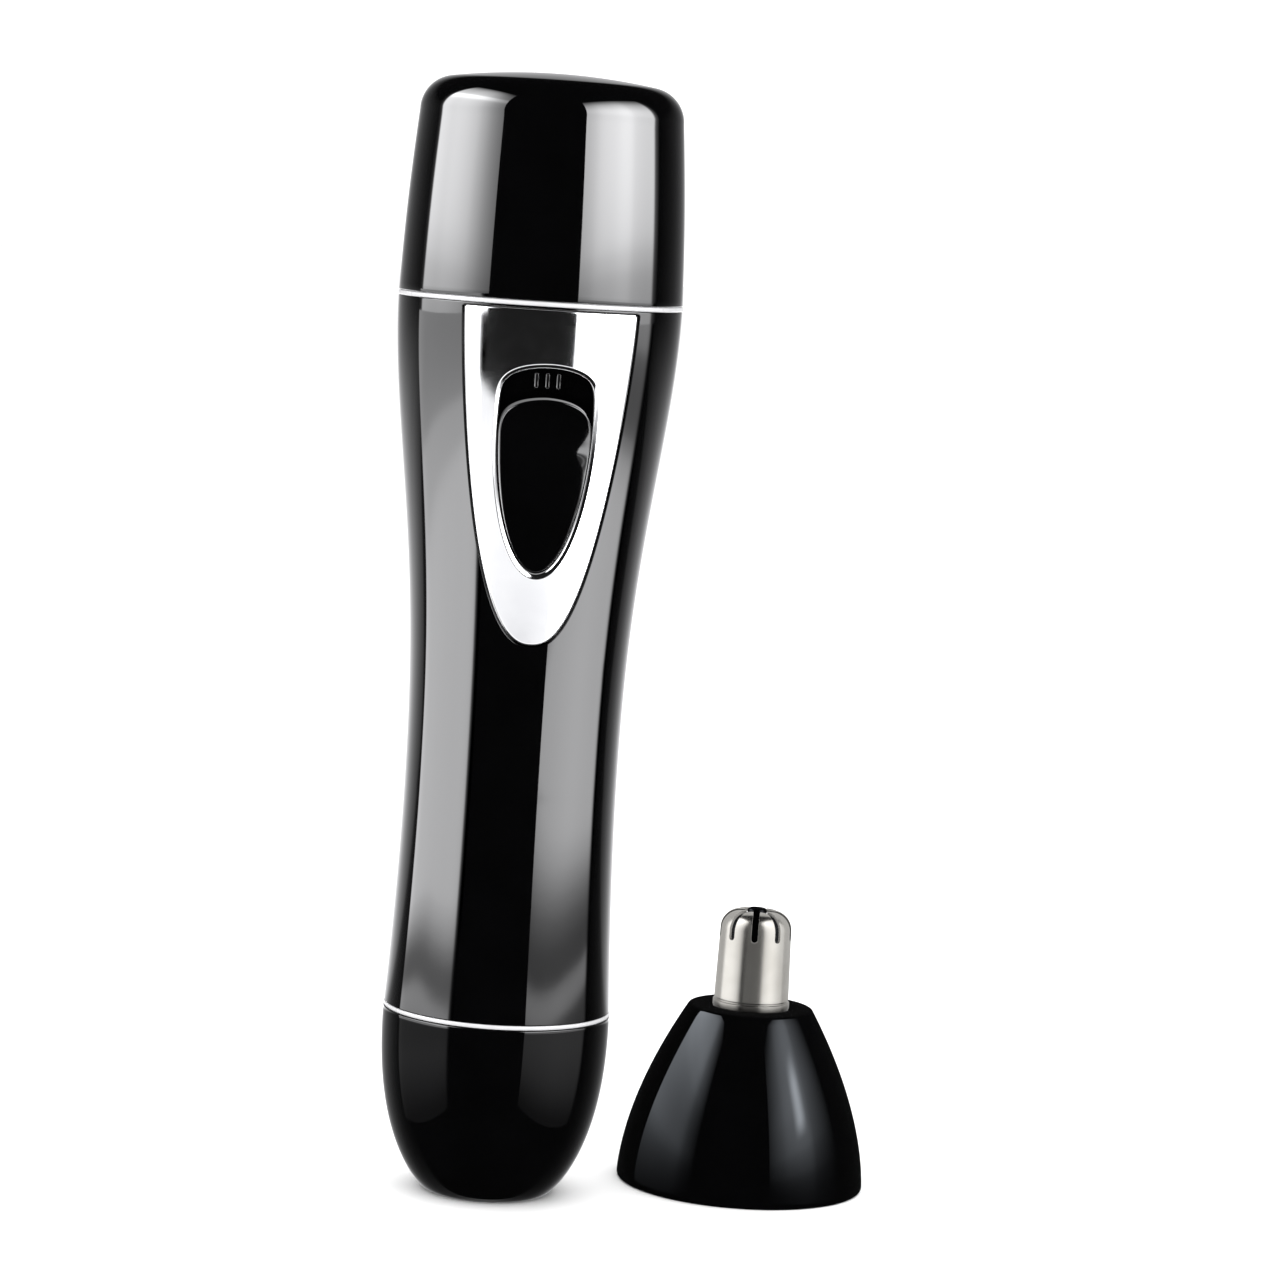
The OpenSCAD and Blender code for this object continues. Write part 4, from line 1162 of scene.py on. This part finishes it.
def make_lights():
    """Softboxes at both sides: near pairs for the handle, dimmer ones for the head and its tube."""
    handle, head, tube = lit["handle"], lit["head"], lit["tube"]
    left_low = [(-110, 0.08), (-90, 0.1), (-37, 0.35), (-8, 0.5), (-1, 1.8), (3.5, 4.0), (7.5, 1.7),
                (10.2, 2.6), (12.4, 4.5), (15.4, 7.2), (18.4, 8.6), (38, 8.6), (48, 6.8), (56, 6.3),
                (64, 4.4), (90, 3.6), (SPLIT_Z, 3.6)]
    right_low = [(-110, 0.08), (-90, 0.12), (-37, 0.5), (-20, 0.6), (-8, 0.6), (-1, 0.6), (3.5, 1.0),
                 (6.5, 3.2), (9.5, 1.0), (11, 0.95), (13.5, 1.3), (16.5, 2.5), (19.5, 4.8), (22.5, 7.2),
                 (26, 8.4), (38, 8.4), (46, 7.2), (54, 3.4), (62, 1.6), (80, 1.8), (92, 3.6),
                 (SPLIT_Z, 4.0)]
    left_high = [(SPLIT_Z, 4.0), (118, 5.2), (128, 7.2), (140, 8.6), (165, 9.2), (220, 10.0), (262, 15.0),
                 (290, 9.0), (360, 5.0), (430, 0.0)]
    right_high = [(SPLIT_Z, 4.0), (118, 4.4), (128, 6.2), (140, 8.8), (165, 10.0), (200, 10.4), (250, 8.0),
                  (320, 2.6), (360, 0.0)]
    softbox("left_low_softbox", *LEFT, NEAR, left_low,
            [(-36, 0), (-34.8, 0), (-33.2, 0.60), (-27, 0.62), (-15, 0.72), (-3, 0.80), (8, 0.85), (27, 0.86),
             (30, 0.4), (33, 0), (36, 0)], handle, bow=(12, 3))
    softbox("right_low_softbox", *RIGHT, NEAR, right_low,
            [(-37.5, 0.74), (-22, 0.79), (-12, 0.82), (-1, 0.82), (10, 0.75), (22, 0.64), (28, 0.58),
             (32, 0.3), (35, 0), (37.5, 0)], handle, bow=(3, 6))
    softbox("left_high_softbox", *LEFT, NEAR, left_high,
            [(-36, 0), (-32, 0.04), (-29, 0.95), (-16, 1.12), (-3, 1.28), (8, 1.2), (18, 0.88), (28, 0.5),
             (36, 0.3)], handle)
    softbox("right_high_softbox", *RIGHT, NEAR, right_high,
            [(-37.5, 0.87), (-31, 1.03), (-22, 1.33), (-12, 1.45), (-1, 1.55), (10, 1.22), (22, 0.98),
             (29, 0.86), (33, 0.1), (37.5, 0)], handle)
    softbox("backdrop", 180 + CAMERA_AZIMUTH, 76, 300,
            [(-900, 0.5), (-60, 0.6), (-40, 0.9), (-28, 3.2), (0, 3.4), (25, 2.9), (45, 2.4), (66, 1.6),
             (100, 0.8), (125, 0.6), (200, 0.4), (300, 0.0)],
            even(76, 0.0, 0.12, 0.45, 1.0, 0.5, 0.2, 0.0), handle)
    small_left = [(-80, 0.05), (0, 0.2), (44, 0.45), (75, 0.85), (100, 1.15), (154, 1.35), (204, 1.8),
                  (252, 2.7), (330, 3.4), (430, 2.6), (480, 0.0)]
    small_right = [(-80, 0.05), (0, 0.15), (44, 0.55), (75, 1.0), (100, 1.5), (154, 2.0), (204, 2.3),
                   (252, 2.2), (330, 2.0), (430, 1.0), (480, 0.0)]
    blue = (0.86, 0.92, 1.0)
    softbox("head_left_softbox", -88.5, 37, FAR, small_left,
            even(37, 0.95, 1.0, 0.95, 0.85, 0.75, 0.3, 0.0), head, colour=blue)
    softbox("head_right_softbox", *RIGHT, FAR, small_right,
            even(RIGHT[1], 0.1, 0.45, 0.85, 1.0, 0.5, 0.2, 0.0), head, (-1, 9, 4.0, 105, 290), blue)
    warm = (1.0, 0.99, 0.965)
    tall = [(-300, 1.0), (100, 1.0), (300, 1.2), (600, 1.6), (900, 1.6)]
    softbox("tube_left_softbox", *LEFT, FAR, tall, even(LEFT[1], 0.85, 1.15, 1.15, 1.1, 0.9, 0.5), tube,
            colour=warm)
    softbox("tube_right_softbox", *RIGHT, FAR, tall, even(RIGHT[1], 0.75, 1.05, 1.15, 1.0, 0.75, 0.7), tube,
            colour=warm)
    softbox("tube_backdrop", 180 + CAMERA_AZIMUTH, 76, 500, [(-300, 0.45), (900, 0.45)],
            even(76, 1.0, 1.0, 1.0), tube, colour=warm)
    softbox("tube_front_card", CAMERA_AZIMUTH, 28, 420, [(-300, 0.12), (600, 0.12)],
            even(28, 1.0, 0.9, 1.0), tube, colour=warm)
    rings = [piece for piece in handle if piece.name in ("lower_ring", "upper_ring")]
    softbox("ring_card", CAMERA_AZIMUTH, 80, 420, [(-600, 0.75), (600, 0.75)], even(80, 0.7, 1.0, 0.7),
            rings)
    plate = [piece for piece in handle if piece.name.startswith("front_plate")]
    softbox("plate_card", -10, 50, 520,
            [(-420, 1.1), (-120, 1.05), (-75, 0.9), (-48, 0.85), (-34, 0.1), (-26, 0.0)],
            even(50, 1.0, 0.95, 1.0), plate)
    overhead = area_light("overhead", 2.4, 2.4, 30)
    overhead.location = (0, 0, 1.3)
    overhead.visible_glossy = False


make_camera()
make_floor()
make_world()
bpy.context.scene.view_settings.view_transform = "Standard"
bottom_cap()
travel_cap()
trim_rings()
body_shell()
front_plate()
switch_well()
switch_button()
neck()
spindle()
battery()
battery_cap_inside()
springs()
head_shell()
head_socket()
guard_tube()
cutter()
finish_carried()
clear_gloss()
make_lights()
